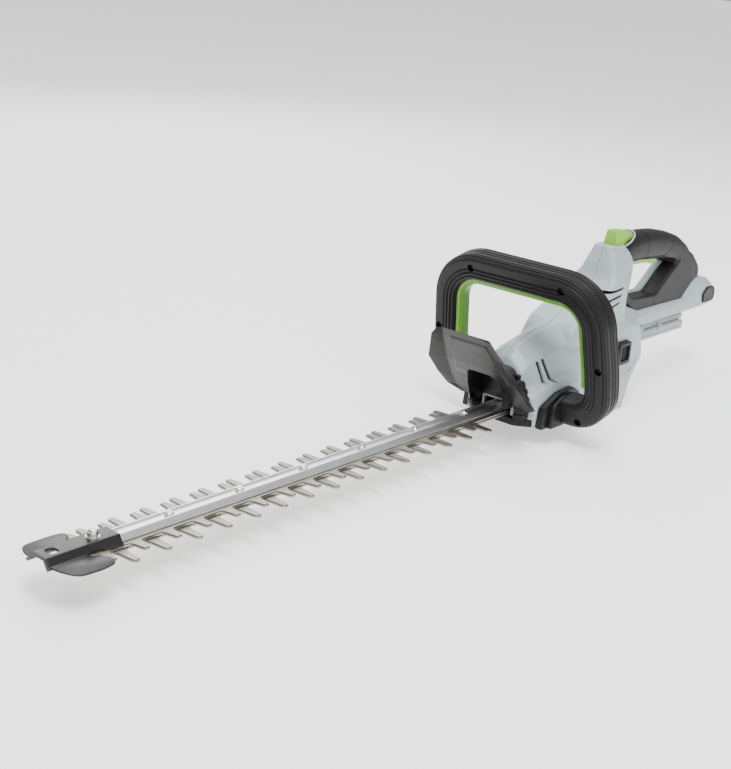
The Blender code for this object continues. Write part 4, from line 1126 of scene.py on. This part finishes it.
    def screw(self, node: str, y: float, up: float) -> None:
        """A pan-head screw with a cross-shaped socket, at the bottom of its pocket."""
        form = turned([(0.0001, 0.0077), (0.0038, 0.0077), (0.0040, 0.0070), (0.0039, 0.0055),
                       (0.0033, 0.0044), (0.0020, 0.0036), (0.0001, 0.0033)], (0, 0), count=36)
        obj = self.shop.piece(node + "_head", form)
        bar = block((-0.0023, -0.0005, 0.0010), (0.0023, 0.0005, 0.0052))
        cross = block((-0.0005, -0.0023, 0.0010), (0.0005, 0.0023, 0.0052))
        self.shop.cut(obj, [bar, cross])
        points = np.array([vertex.co for vertex in obj.data.vertices])
        points = self.stand(points + (y, up, 0.0))
        obj.data.vertices.foreach_set("co", points.ravel())
        self.shop.place(obj, "housing", (node,), Slot.DARK_STEEL, Finish.SCREW_COAT, 30.0)

    def bracket(self, node: str, side: int) -> None:
        """A clamp block: a faceted slab with a stepped rim where the loop's arm enters it."""
        corners = np.array([(0.6120, -0.0125), (0.6970, -0.0125), (0.6990, 0.0090), (0.6900, 0.0225),
                            (0.6775, 0.0300), (0.6450, 0.0275), (0.6150, 0.0145)])
        outline = soften(corners, 0.0035, 5)
        inner = slab(outline, 0.0503, 0.0592, Plane.SIDE, 0.0012, 3)
        collar_corners = np.array([(0.6230, -0.0125), (0.6880, -0.0125), (0.6900, 0.0090), (0.6800, 0.0235),
                                   (0.6500, 0.0255), (0.6280, 0.0160)])
        outer = slab(soften(collar_corners, 0.005, 5), 0.0585, self.bracket_outer, Plane.SIDE, 0.0022, 4)
        form = inner + outer
        form.points[:, 1] *= side
        obj = self.shop.piece(node + "_clamp", form)
        ribs = []
        for k in range(2):
            rib = block((0.6385 + 0.013 * k, 0.0500, 0.0262), (0.6400 + 0.013 * k, 0.0580, 0.0400))
            rib.points[:, 1] *= side
            ribs.append(rib)
        self.shop.cut(obj, ribs)
        self.shop.place(obj, "housing", (node,), Slot.BLACK, Finish.BLACK, 28.0)


# ---------------------------------------------------------------- housing
@dataclass
class Housing:
    """The clamshell body with its riser, arm and tail, and what is set into it."""

    shop: Workshop
    release_box: tuple[float, ...] = (0.7910, 0.0320, 0.8210, 0.0620)
    release_gap: float = 0.0006
    tail_bend: float = 0.0032
    wall: float = 0.0025
    seam: float = 0.0003
    body: tuple[tuple[float, ...], ...] = (
        # x, floor half, floor z, side half, side low z, shoulder half, shoulder z, top half, top z
        (0.6045, 0.0230, -0.0028, 0.0250, 0.020, 0.0235, 0.040, 0.006, 0.0520),
        (0.6080, 0.0270, -0.0028, 0.0275, 0.022, 0.0265, 0.050, 0.007, 0.0660),
        (0.6190, 0.0300, -0.0028, 0.0295, 0.026, 0.0280, 0.060, 0.007, 0.0775),
        (0.6260, 0.0320, -0.0028, 0.0300, 0.028, 0.0285, 0.063, 0.007, 0.0800),
        (0.6340, 0.0360, -0.0028, 0.0365, 0.030, 0.0295, 0.066, 0.007, 0.0825),
        (0.6670, 0.0370, -0.0028, 0.0372, 0.034, 0.0305, 0.072, 0.008, 0.0900),
        (0.7000, 0.0390, -0.0028, 0.0385, 0.040, 0.0325, 0.077, 0.009, 0.0950),
        (0.7160, 0.0400, -0.0120, 0.0410, 0.042, 0.0350, 0.078, 0.012, 0.0960),
        (0.7330, 0.0420, -0.0300, 0.0480, 0.020, 0.0420, 0.078, 0.020, 0.0960),
        (0.7600, 0.0440, -0.0340, 0.0490, 0.000, 0.0430, 0.079, 0.024, 0.0960),
        (0.8290, 0.0440, -0.0340, 0.0490, 0.000, 0.0430, 0.079, 0.024, 0.0950),
        (0.8335, 0.0440, -0.0010, 0.0485, 0.008, 0.0420, 0.078, 0.024, 0.0940),
        (0.8620, 0.0380, 0.0185, 0.0430, 0.028, 0.0360, 0.074, 0.020, 0.0890),
        (0.8690, 0.0360, 0.0240, 0.0410, 0.034, 0.0340, 0.070, 0.018, 0.0840),
    )
    riser: tuple[tuple[float, ...], ...] = (
        # z, front x, rear x, half width, front corner
        (0.0700, 0.6850, 0.8560, 0.0385, 0.007),
        (0.0880, 0.6950, 0.8520, 0.0370, 0.007),
        (0.0970, 0.7030, 0.8500, 0.0362, 0.007),
        (0.1060, 0.7220, 0.8500, 0.0352, 0.007),
        (0.1160, 0.7520, 0.8510, 0.0345, 0.007),
        (0.1260, 0.7790, 0.8530, 0.0340, 0.007),
        (0.1390, 0.7905, 0.8550, 0.0325, 0.007),
        (0.1470, 0.7940, 0.8570, 0.0268, 0.006),
        (0.1560, 0.7965, 0.8560, 0.0240, 0.006),
        (0.1680, 0.8010, 0.8470, 0.0195, 0.005),
        (0.1790, 0.8055, 0.8360, 0.0158, 0.004),
    )
    arm: tuple[tuple[float, ...], ...] = (
        # x, floor half, floor z, side half, side low z, shoulder half, shoulder z, top half, top z
        (0.8450, 0.0300, 0.0540, 0.0340, 0.060, 0.0330, 0.082, 0.020, 0.0980),
        (0.8840, 0.0230, 0.0630, 0.0250, 0.066, 0.0240, 0.078, 0.0185, 0.0845),
        (1.0060, 0.0225, 0.0640, 0.0245, 0.067, 0.0235, 0.079, 0.0185, 0.0835),
        (1.0380, 0.0225, 0.0640, 0.0245, 0.068, 0.0235, 0.092, 0.0170, 0.1080),
        (1.0500, 0.0225, 0.0640, 0.0245, 0.068, 0.0235, 0.096, 0.0160, 0.1095),
        (1.0780, 0.0220, 0.0650, 0.0240, 0.069, 0.0230, 0.094, 0.0150, 0.1030),
        (1.0960, 0.0200, 0.0660, 0.0220, 0.070, 0.0210, 0.086, 0.0130, 0.0940),
        (1.1040, 0.0165, 0.0680, 0.0185, 0.072, 0.0175, 0.078, 0.0110, 0.0850),
    )
    pod: tuple[tuple[float, ...], ...] = (
        (0.6105, 0.0500, -0.0125, 0.0502, 0.006, 0.0430, 0.022, 0.030, 0.0290),
        (0.6200, 0.0500, -0.0125, 0.0502, 0.012, 0.0440, 0.028, 0.030, 0.0330),
        (0.6500, 0.0500, -0.0125, 0.0502, 0.022, 0.0440, 0.036, 0.030, 0.0380),
        (0.7000, 0.0500, -0.0125, 0.0502, 0.030, 0.0445, 0.042, 0.030, 0.0440),
        (0.7150, 0.0500, -0.0125, 0.0502, 0.018, 0.0450, 0.032, 0.030, 0.0340),
    )

    def build(self) -> None:
        """Build the halves and the parts that close the housing."""
        self.halves()
        self.bottom_cover()
        self.release()
        self.dock()
        self.badge()

    def sections(self, rows: tuple[tuple[float, ...], ...], inward: float, cut: float) -> Form:
        """A loft across the tool through ten-cornered softened sections, each `inward` inside its outline."""
        t = np.array(rows)
        x = t[:, 0].copy()
        x[0] += inward
        x[-1] -= inward
        half = np.stack([t[:, [1, 2]], t[:, [3, 4]], t[:, [5, 6]], t[:, [7, 8]]], 1)
        half = half - inward * np.array([(1, -1), (1, 0), (1, 0.6), (0.4, 1)])
        corners = np.concatenate([half, half[:, ::-1] * (-1, 1)], 1)
        ring = soften(corners, cut, 4)
        return skin(np.concatenate([np.broadcast_to(x[:, None, None], (*ring.shape[:2], 1)), ring], -1))

    def riser_form(self, inward: float) -> Form:
        """The sloping tower: level softened sections, narrow at the front."""
        t = np.array(self.riser)
        z, front, rear, half, corner = t.T
        z = z.copy()
        z[-1] -= inward
        front, rear, half = front + inward * 1.3, rear - inward, half - inward
        outline = np.stack([
            np.stack([front, half * 0.45], -1), np.stack([front + 0.0015, half - 0.0045], -1),
            np.stack([front + corner, half], -1), np.stack([rear - 0.032, half], -1),
            np.stack([rear, np.minimum(half - 0.002, 0.0185)], -1),
        ], 1)
        outline = np.concatenate([outline, outline[:, ::-1] * (1, -1)], 1)
        cut = np.array([0.001, 0.004, 0.004, 0.012, 0.005])
        ring = soften(outline, np.concatenate([cut, cut[::-1]]), 4)
        return skin(np.concatenate([ring, np.broadcast_to(z[:, None, None], (*ring.shape[:2], 1))], -1))

    def core(self) -> Form:
        """The grey inner wall of the finger opening, between the grip's sides."""
        corners = np.array([(0.8480, 0.0900), (0.8480, 0.1040), (0.8660, 0.1027), (0.9240, 0.1022),
                            (0.9400, 0.1130), (0.9600, 0.1278), (0.9765, 0.1368), (0.9850, 0.1330),
                            (0.9600, 0.1120), (0.9350, 0.0900)])
        return slab(soften(corners, 0.003, 4), 0.0050, 0.0150, Plane.SIDE, 0.0015)

    def skirts(self) -> Form:
        """The lips that hang beside the bottom cover, and the blade mouth's frame."""
        return block((0.6020, -0.0240, -0.0028), (0.6200, 0.0240, 0.0190), 0.002)

    def cutters(self) -> list[Form]:
        """The blade mouth, cover seat, button well, trigger room, dock opening and release well."""
        panel = np.array([(0.7450, 0.0100), (0.8230, 0.0150), (0.8500, 0.0290), (0.8450, 0.0600),
                          (0.8210, 0.0730), (0.7450, 0.0730)])
        recess = slab(soften(panel, 0.005, 4), -0.060, -0.0474, Plane.SIDE)
        recess.points[:, 1] += 0.0050 * np.clip((recess.points[:, 0] - 0.835) / 0.02, 0, 1)
        release, gap = self.release_box, self.release_gap
        cuts = [
            block((0.59, -0.0200, -0.02), (0.645, 0.0200, 0.0135)),
            block((0.6075, -0.0465, -0.02), (0.7125, 0.0465, -0.0026)),
            block((0.6200, -0.0430, -0.02), (0.7050, 0.0430, 0.006)),
            block((0.8179, -0.0108, 0.168), (0.90, 0.0108, 0.30)),
            block((0.855, -0.0075, 0.135), (0.95, 0.0075, 0.170)),
            block((0.880, -0.014, 0.05), (0.96, 0.014, 0.080)),
            block((release[0] - gap, -0.06, release[1] - gap), (release[2] + gap, -0.038, release[3] + gap)),
            recess,
            recess.mirrored(),
        ]
        return cuts + self.vents()

    def vents(self) -> list[Form]:
        """Two slanted slots low on each side and three louvres on each flank of the riser."""
        slots = []
        for x, lean, high in ((0.6295, 0.0105, 0.0630), (0.6395, 0.0150, 0.0648)):
            outline = soften(np.array([(x, high), (x + 0.0058, high), (x + lean + 0.0058, 0.0345),
                                       (x + lean, 0.0345)]), 0.0008, 2)
            slots.append(slab(outline, -0.060, -0.020, Plane.SIDE))
        for k in range(3):
            front, rear = 0.7570 + 0.012 * k, 0.8110 - 0.004 * k
            low, high = 0.1225 - 0.0088 * k, 0.1275 - 0.0088 * k
            outline = np.array([(front, low), (rear, high), (rear + 0.0012, high + 0.0036),
                                (front - 0.0015, low + 0.0036)])
            louvre = slab(soften(outline, 0.0012, 3), -0.060, -0.020, Plane.SIDE)
            slots.append(louvre)
        return slots + [slot.mirrored() for slot in slots]

    def halves(self) -> None:
        """Melt the outer solids into one skin, split it, hollow it and cut the openings."""
        solid = (self.sections(self.body, 0.0, 0.0022) + self.riser_form(0.0)
                 + self.sections(self.arm, 0.0, 0.0025) + self.sections(self.pod, 0.0, 0.0020)
                 + self.skirts())
        melted = self.shop.moulded(self.shop.piece("housing_skin", solid), self.shop.voxel, 1)
        rooms = [self.sections(self.body, self.wall, 0.0035), self.riser_form(self.wall),
                 self.sections(self.arm, self.wall, 0.0025)]
        cuts = rooms + self.cutters()
        for node, low, high in (("housing_left", -0.09, -self.seam), ("housing_right", self.seam, 0.09)):
            half = self.shop.copy(melted, node + "_shell")
            self.shop.cut(half, [block((0.55, low, -0.06), (1.15, high, 0.22))], "INTERSECT")
            self.shop.cut(half, cuts)
            core = self.shop.cut(self.shop.piece("core", self.core()),
                                 [block((0.80, low, 0.05), (1.10, high, 0.20))], "INTERSECT")
            self.join(half, core)
            self.shop.place(half, "housing", (node,), Slot.GREY, Finish.BODY_GREY, 40.0)
        bpy.data.objects.remove(melted, do_unlink=True)
        self.trim()

    def join(self, target: bpy.types.Object, extra: bpy.types.Object) -> None:
        """Add a second object's mesh to the first, and remove the second."""
        bm = bmesh.new()
        bm.from_mesh(target.data)
        bm.from_mesh(extra.data)
        bm.to_mesh(target.data)
        bm.free()
        bpy.data.objects.remove(extra, do_unlink=True)

    def trim(self) -> None:
        """The thin grey lip round the rear of the lock-off button: a round wire along a smooth line."""
        knots = np.array([(0.8330, -0.0155, 0.1785), (0.8440, -0.0150, 0.1808), (0.8540, -0.0135, 0.1845),
                          (0.8615, -0.0110, 0.1885), (0.8650, -0.0065, 0.1918), (0.8655, 0.0, 0.1930)])
        knots = np.vstack([knots, knots[-2::-1] * (1, -1, 1)])
        spot = np.linspace(0, len(knots) - 1, 60)
        line = np.stack([np.interp(spot, np.arange(len(knots)), knots[:, k]) for k in range(3)], -1)
        kernel = np.ones(5) / 5
        line[2:-2] = np.stack([np.convolve(line[:, k], kernel, "valid") for k in range(3)], -1)
        along = np.gradient(line, axis=0)
        along /= np.linalg.norm(along, axis=1)[:, None]
        first = np.cross(along, (0.0, 0.0, 1.0))
        first /= np.linalg.norm(first, axis=1)[:, None]
        form = carried(ring_points((0, 0), 0.0012, 12), line, first, np.cross(first, along))
        obj = self.shop.piece("button_lip", form)
        self.shop.place(obj, "housing", (), Slot.GREY, Finish.BODY_GREY)

    def bottom_cover(self) -> None:
        """The black plate under the gearbox: stepped rim, lengthwise ribs and four screw wells."""
        corners = np.array([(0.5990, -0.0270), (0.6130, -0.0462), (0.7030, -0.0462), (0.7030, 0.0462),
                            (0.6130, 0.0462), (0.5990, 0.0270)])
        outline = soften(corners, 0.005, 5)
        plate = self.shop.piece("bottom_cover_plate", slab(outline, -0.0130, -0.0031, Plane.TOP, 0.0022, 3))
        ribs = [block((0.616, y - 0.0012, -0.02), (0.690, y + 0.0012, -0.0120), 0.0008)
                for y in (-0.024, -0.016, 0.016, 0.024)]
        wells = [turned([(0.0042, -0.02), (0.0042, -0.0085)], (x, y), count=32)
                 for x in (0.622, 0.692) for y in (-0.034, 0.034)]
        self.shop.cut(plate, ribs + wells)
        self.shop.place(plate, "housing", ("bottom_cover",), Slot.BLACK, Finish.BLACK, 30.0)

    def release(self) -> None:
        """The battery release: a dished button in a raised rim."""
        front, low, rear, high = self.release_box
        corners = np.array([(front, low), (rear, low), (rear, high), (front, high)])
        button = self.shop.piece("release_button_cap",
                                 slab(soften(corners, 0.005, 5), -0.0515, -0.0405, Plane.SIDE, 0.0014))
        inside = corners + [(0.0055, 0.005), (-0.005, 0.005), (-0.005, -0.005), (0.0055, -0.005)]
        dish = slab(soften(inside, 0.003, 4), -0.06, -0.0490, Plane.SIDE)
        bar = np.array([(0.0, 0.0385), (0.0014, 0.0385), (0.0014, 0.0555), (0.0, 0.0555)])
        bars = [slab(soften(bar + (x, 0.0), 0.0006, 2), -0.0497, -0.0482, Plane.SIDE, 0.0004, 2)
                for x in (0.8000, 0.8045, 0.8090)]
        self.shop.cut(button, [dish])
        self.shop.cut(button, bars, "UNION")
        self.shop.place(button, "release_button", ("release_button",), Slot.BLACK, Finish.BLACK, 30.0)

    def dock(self) -> None:
        """The battery rail: neck and flange with long grooves, stops and a contact well."""
        bar = block((0.872, -0.026, 0.0425), (1.004, 0.026, 0.0545), 0.0012)
        flange = self.shop.piece("battery_rail_flange", bar)
        lows = [block((0.93, -0.030, 0.0515), (0.936, -0.0215, 0.0530)),
                block((0.885, -0.012, 0.0405), (0.985, 0.012, 0.0440), 0.0012),
                block((0.868, -0.0264, 0.0470), (0.990, -0.0252, 0.0478)),
                block((0.995, -0.007, 0.0405), (1.01, 0.007, 0.0500), 0.0012)]
        self.shop.cut(flange, lows + [low.mirrored() for low in lows[:1] + lows[2:3]])
        self.shop.place(flange, "housing", ("battery_rail",), Slot.GREY, Finish.DOCK_GREY, 30.0)
        neck = block((0.886, -0.0205, 0.0548), (1.010, 0.0205, 0.0624), 0.0010)
        stops = [block((0.938, -0.0245, 0.0548), (0.946, -0.0195, 0.0580), 0.0006),
                 block((0.886, -0.0262, 0.0546), (0.893, -0.0195, 0.0624), 0.0006)]
        for stop in stops:
            neck = neck + stop.both()
        obj = self.shop.piece("contact_block_neck", neck)
        self.shop.place(obj, "housing", ("contact_block",), Slot.GREY, Finish.DOCK_GREY, 30.0)

    def badge(self) -> None:
        """The blank badge: a faceted shield set on the tail's side."""
        corners = np.array([(1.0565, 0.0705), (1.0895, 0.0700), (1.0935, 0.0765), (1.0925, 0.0850),
                            (1.0860, 0.0915), (1.0660, 0.0925), (1.0545, 0.0830)])
        form = slab(soften(corners, 0.003, 4), -0.0265, -0.0225, Plane.SIDE, 0.0010)
        smaller = corners + (corners.mean(0) - corners) * 0.14
        groove = slab(soften(smaller, 0.003, 4), -0.03, -0.0259, Plane.SIDE)
        for bent in (form, groove):
            bent.points[:, 1] += self.tail_bend * np.clip((bent.points[:, 0] - 1.070) / 0.030, 0, 1) ** 1.5
        obj = self.shop.piece("tail_badge_plate", form)
        self.shop.cut(obj, [groove])
        self.shop.place(obj, "housing", ("tail_badge",), Slot.BLACK, Finish.BLACK, 25.0)


# ---------------------------------------------------------------- rear handle
@dataclass
class RearHandle:
    """The overmoulded D-handle with its trigger, lock-off button and switch gear."""

    shop: Workshop
    half: float = 0.0180
    roundness: float = 2.5
    pin: tuple[float, float] = (0.8735, 0.1600)
    parting_depth: float = 0.0008
    bar: tuple[tuple[float, ...], ...] = (
        # x, z of the middle line, half height, half width
        (0.8360, 0.1640, 0.0140, 0.0150),
        (0.8500, 0.1680, 0.0180, 0.0172),
        (0.8700, 0.1698, 0.0200, 0.0180),
        (0.8900, 0.1702, 0.0203, 0.0180),
        (0.9200, 0.1680, 0.0205, 0.0180),
        (0.9500, 0.1640, 0.0190, 0.0180),
        (0.9780, 0.1560, 0.0190, 0.0180),
        (1.0000, 0.1440, 0.0190, 0.0180),
        (1.0180, 0.1290, 0.0190, 0.0180),
        (1.0340, 0.1130, 0.0190, 0.0175),
        (1.0440, 0.1000, 0.0180, 0.0165),
    )

    def build(self) -> None:
        """Build the grip halves, the trigger and the button."""
        self.grips()
        self.trigger()
        self.button()

    def bar_form(self) -> Form:
        """The bar: a superellipse |a/w|^n + |b/h|^n = 1 carried along the arched middle line."""
        t = np.array(self.bar)
        spot = np.linspace(0, len(t) - 1, 60)
        x, z, height, width = (np.interp(spot, np.arange(len(t)), t[:, k]) for k in range(4))
        angle = np.linspace(0, 2 * math.pi, 48, endpoint=False)
        power = 2 / self.roundness
        a = np.sign(np.cos(angle)) * np.abs(np.cos(angle)) ** power
        b = np.sign(np.sin(angle)) * np.abs(np.sin(angle)) ** power
        along = np.gradient(np.column_stack([x, z]), axis=0)
        along /= np.linalg.norm(along, axis=1)[:, None]
        up = np.column_stack([-along[:, 1], 0 * x, along[:, 0]])
        side = np.broadcast_to((0.0, 1.0, 0.0), up.shape)
        section = np.stack([width[:, None] * a, height[:, None] * b], -1)
        return carried(section, np.column_stack([x, 0 * x, z]), side, up)

    def cheek(self) -> Form:
        """The flat lower panel between the finger opening and the arm."""
        corners = np.array([(0.8470, 0.1030), (0.8780, 0.0825), (1.0060, 0.0820), (1.0370, 0.1090),
                            (1.0490, 0.1095), (1.0460, 0.1250), (1.0200, 0.1480), (0.9900, 0.1500),
                            (0.9790, 0.1360), (0.9620, 0.1262), (0.9430, 0.1110), (0.9290, 0.0998),
                            (0.8660, 0.1040), (0.8510, 0.1150)])
        cut = np.array([0.003, 0.003, 0.004, 0.004, 0.002, 0.01, 0.01, 0.006, 0.004, 0.006, 0.006, 0.006,
                        0.004, 0.002])
        return slab(soften(corners, cut, 4), -0.0175, 0.0175, Plane.SIDE, 0.0028)

    def grips(self) -> None:
        """Melt the bar and panel together, split them, and cut the opening, wells and parting grooves."""
        solid = self.shop.piece("grip_skin", self.bar_form() + self.cheek())
        skin_obj = self.shop.moulded(solid, self.shop.voxel, 5)
        opening = soften(np.array([(0.8600, 0.1030), (0.9290, 0.1005), (0.9432, 0.1115), (0.9622, 0.1264),
                                   (0.9788, 0.1365), (0.9780, 0.1430), (0.9600, 0.1468), (0.9300, 0.1474),
                                   (0.8680, 0.1512), (0.8600, 0.1512)]), 0.004, 4)
        cuts = [
            slab(opening, -0.04, 0.04, Plane.SIDE),
            block((0.8179, -0.0108, 0.168), (0.8621, 0.0108, 0.30)),
            block((0.86, -0.0068, 0.130), (0.944, 0.0068, 0.1660)),
            slab(ring_points(self.pin, 0.0023, 20), -0.0125, 0.0125, Plane.SIDE),
            block((0.8960, -0.0068, 0.160), (0.9380, 0.0068, 0.182)),
        ]
        grooves = [self.groove([(0.8860, 0.1940), (0.8905, 0.1830), (0.8920, 0.1700), (0.8900, 0.1560)]),
                   self.groove([(0.9620, 0.1860), (0.9590, 0.1720), (0.9530, 0.1600), (0.9440, 0.1530),
                                (0.9250, 0.1525), (0.8680, 0.1560)])]
        for node, low, high in (("rear_grip_left", -0.04, -0.0002), ("rear_grip_right", 0.0002, 0.04)):
            half = self.shop.copy(skin_obj, node + "_overmould")
            self.shop.cut(half, [block((0.80, low, 0.07), (1.10, high, 0.22))], "INTERSECT")
            self.shop.cut(half, cuts)
            self.shop.cut(half, [groove.mirrored() if low < 0 else groove for groove in grooves])
            self.shop.place(half, "housing", (node,), Slot.RUBBER, Finish.GRIP_RUBBER, 40.0)
        bpy.data.objects.remove(skin_obj, do_unlink=True)

    def groove(self, knots: list[tuple[float, float]]) -> Form:
        """A thin band that follows a line in the side view and bites 0.8 mm into the grip's skin.

        Its inner face lies on the bar's superellipse, moved inwards.
        """
        line = np.array(knots)
        spot = np.linspace(0, len(line) - 1, 40)
        line = np.column_stack([np.interp(spot, np.arange(len(line)), line[:, k]) for k in range(2)])
        normal = path_normals(line)
        t = np.array(self.bar)
        middle = np.interp(line[:, 0], t[:, 0], t[:, 1])
        height = np.interp(line[:, 0], t[:, 0], t[:, 2])
        share = np.clip(np.abs(line[:, 1] - middle) / height, 0, 0.985)
        reach = self.half * (1 - share**self.roundness) ** (1 / self.roundness) - self.parting_depth
        left, right = line + normal * 0.0005, line - normal * 0.0005
        rings = np.stack([np.column_stack([left[:, 0], reach, left[:, 1]]),
                          np.column_stack([right[:, 0], reach, right[:, 1]]),
                          np.column_stack([right[:, 0], reach * 0 + 0.03, right[:, 1]]),
                          np.column_stack([left[:, 0], reach * 0 + 0.03, left[:, 1]])], 1)
        return skin(rings)

    def trigger(self) -> None:
        """The throttle trigger: a hooked lever with a crowned face."""
        corners = np.array([(0.8685, 0.1640), (0.8680, 0.1475), (0.8800, 0.1450), (0.9000, 0.1448),
                            (0.9180, 0.1432), (0.9300, 0.1395), (0.9370, 0.1405), (0.9400, 0.1465),
                            (0.9370, 0.1510), (0.9000, 0.1540), (0.8830, 0.1600), (0.8780, 0.1640)])
        outline = soften(corners, 0.0035, 4)
        obj = self.shop.piece("trigger_lever", slab(outline, -0.0062, 0.0062, Plane.SIDE, 0.0016, 4))
        self.shop.cut(obj, [slab(ring_points(self.pin, 0.0021, 24), -0.01, 0.01, Plane.SIDE)])
        self.shop.place(obj, "trigger", ("trigger",), Slot.GREEN, Finish.SWITCH_GREEN, 30.0)

    def button(self) -> None:
        """The lock-off button: a wedge that narrows upwards, with three thumb grooves on top."""
        corners = np.array([(0.8185, 0.1765), (0.8615, 0.1765), (0.8615, 0.1895), (0.8570, 0.1935),
                            (0.8330, 0.1972), (0.8205, 0.1974)])
        form = slab(soften(corners, np.array([0.001, 0.001, 0.002, 0.003, 0.004, 0.002]), 4), -0.0102, 0.0102,
                    Plane.SIDE, 0.0014, 4)
        rise = np.clip((form.points[:, 2] - 0.1785) / 0.0190, 0, 1)
        form.points[:, 1] *= 1 - 0.30 * rise
        obj = self.shop.piece("lockoff_button_cap", form)
        grooves = []
        for x in (0.8360, 0.8410, 0.8460):
            rod = slab(ring_points((x, 0.1978 - 0.16 * (x - 0.836)), 0.0012, 16), -0.0058, 0.0058, Plane.SIDE)
            grooves.append(rod)
        self.shop.cut(obj, grooves)
        self.shop.place(obj, "lockoff_button", ("lockoff_button",), Slot.GREEN, Finish.SWITCH_GREEN, 30.0)


# ---------------------------------------------------------------- drive
@dataclass
class Drive:
    """The parts inside the housing, whose CAD shapes stay and are dressed."""

    shop: Workshop
    finishes: tuple[tuple[Finish, tuple[str, ...]], ...] = (
        (Finish.CASTING, ("gearbox_case", "motor_end_cap")),
        (Finish.GEAR_STEEL,
         ("drive_gear", "pinion", "gear_axle", "shaft_bearing", "rotor_shaft", "trigger_pin")),
        (Finish.ZINC, ("upper_cam", "lower_cam", "lockoff_spring")),
        (Finish.SCREW_COAT, ("rotor_core",)),
        (Finish.WINDING, ("motor_stator",)),
        (Finish.BLACK, ("cooling_fan", "trigger_switch")),
        (Finish.BOARD, ("control_board",)),
    )

    def build(self) -> None:
        """Dress each node."""
        for finish, names in self.finishes:
            self.shop.dress(names, finish)


# ---------------------------------------------------------------- studio
@dataclass
class Studio:
    """Pale floor, soft lights and the camera."""

    shop: Workshop
    camera_at: tuple[float, float, float] = (-0.75593, -0.90063, 0.55393)
    camera_turn: tuple[float, float, float] = (71.64547, -4.50794, -49.27951)
    lens: float = 66.094
    floor_size: float = 14.0

    def build(self) -> None:
        """Build the floor, the lights and the camera."""
        self.floor()
        self.world()
        self.light("key", (-1.0, -0.9, 3.0), (0.1, 0.0, 0.1), 1.4, 120.0)
        self.light("fill", (-0.4, -3.0, 1.6), (0.0, 0.0, 0.1), 1.8, 30.0)
        self.light("top", (0.3, 0.8, 2.8), (0.1, 0.0, 0.1), 2.4, 70.0)
        self.light("rim", (1.4, 2.2, 1.4), (0.2, 0.0, 0.1), 1.4, 26.0)
        data = bpy.data.cameras.new("camera")
        data.lens = self.lens
        data.clip_start, data.clip_end = 0.05, 60.0
        camera = bpy.data.objects.new("camera", data)
        bpy.context.scene.collection.objects.link(camera)
        camera.location = Vector(self.camera_at) + self.shop.shift
        camera.rotation_euler = [math.radians(angle) for angle in self.camera_turn]
        bpy.context.scene.camera = camera

    def floor(self) -> None:
        """A pale floor just under the tool: a flat grid."""
        side = np.linspace(-1, 1, 41)
        x, y = np.meshgrid(side * self.floor_size, side * self.floor_size, indexing="ij")
        index = np.arange(41 * 41).reshape(41, 41)
        quads = np.stack([index[:-1, :-1], index[1:, :-1], index[1:, 1:], index[:-1, 1:]], -1).reshape(-1, 4)
        mesh = bpy.data.meshes.new("floor")
        points = np.stack([x, y, np.full_like(x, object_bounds()[0].z - 0.0002)], -1).reshape(-1, 3)
        mesh.from_pydata(points.tolist(), [], quads.tolist())
        recipe = Recipe("floor_white")
        cloud = recipe.noise(0.8, 2.0)
        colour = recipe.blend((0.86, 0.86, 0.86), (0.88, 0.88, 0.88), cloud)
        fixed = {"Specular IOR Level": 0.1, "Emission Color": (1.0, 1.0, 1.0, 1.0), "Emission Strength": 0.75}
        mesh.materials.append(recipe.surface(colour, 0.85 + cloud * 0.05, cloud, 0.0001, fixed))
        floor = bpy.data.objects.new("floor", mesh)
        bpy.context.scene.collection.objects.link(floor)
        floor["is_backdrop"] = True

    def world(self) -> None:
        """An even white surround."""
        world = bpy.data.worlds.new("surround")
        world.use_nodes = True
        background = world.node_tree.nodes["Background"]
        background.inputs["Color"].default_value = (1.0, 1.0, 1.0, 1.0)
        background.inputs["Strength"].default_value = 0.5
        bpy.context.scene.world = world

    def light(self, name: str, at: tuple, aim: tuple, size: float, power: float) -> None:
        """A square soft light that points at a place."""
        data = bpy.data.lights.new(name, "AREA")
        data.size = size
        data.energy = power
        lamp = bpy.data.objects.new(name, data)
        lamp.location = at
        lamp.rotation_euler = (Vector(aim) - Vector(at)).to_track_quat("-Z", "Y").to_euler()
        bpy.context.scene.collection.objects.link(lamp)


def main() -> None:
    """Build every sub-assembly in order, then the studio."""
    logging.basicConfig(level=logging.INFO, format="%(name)s: %(message)s")
    shop = Workshop()
    for assembly in (CuttingBar(shop), HandGuard(shop), FrontHandle(shop), Housing(shop), RearHandle(shop),
                     Drive(shop)):
        LOG.info("building %s", type(assembly).__name__)
        assembly.build()
    Studio(shop).build()


if __name__ == "__main__":
    main()
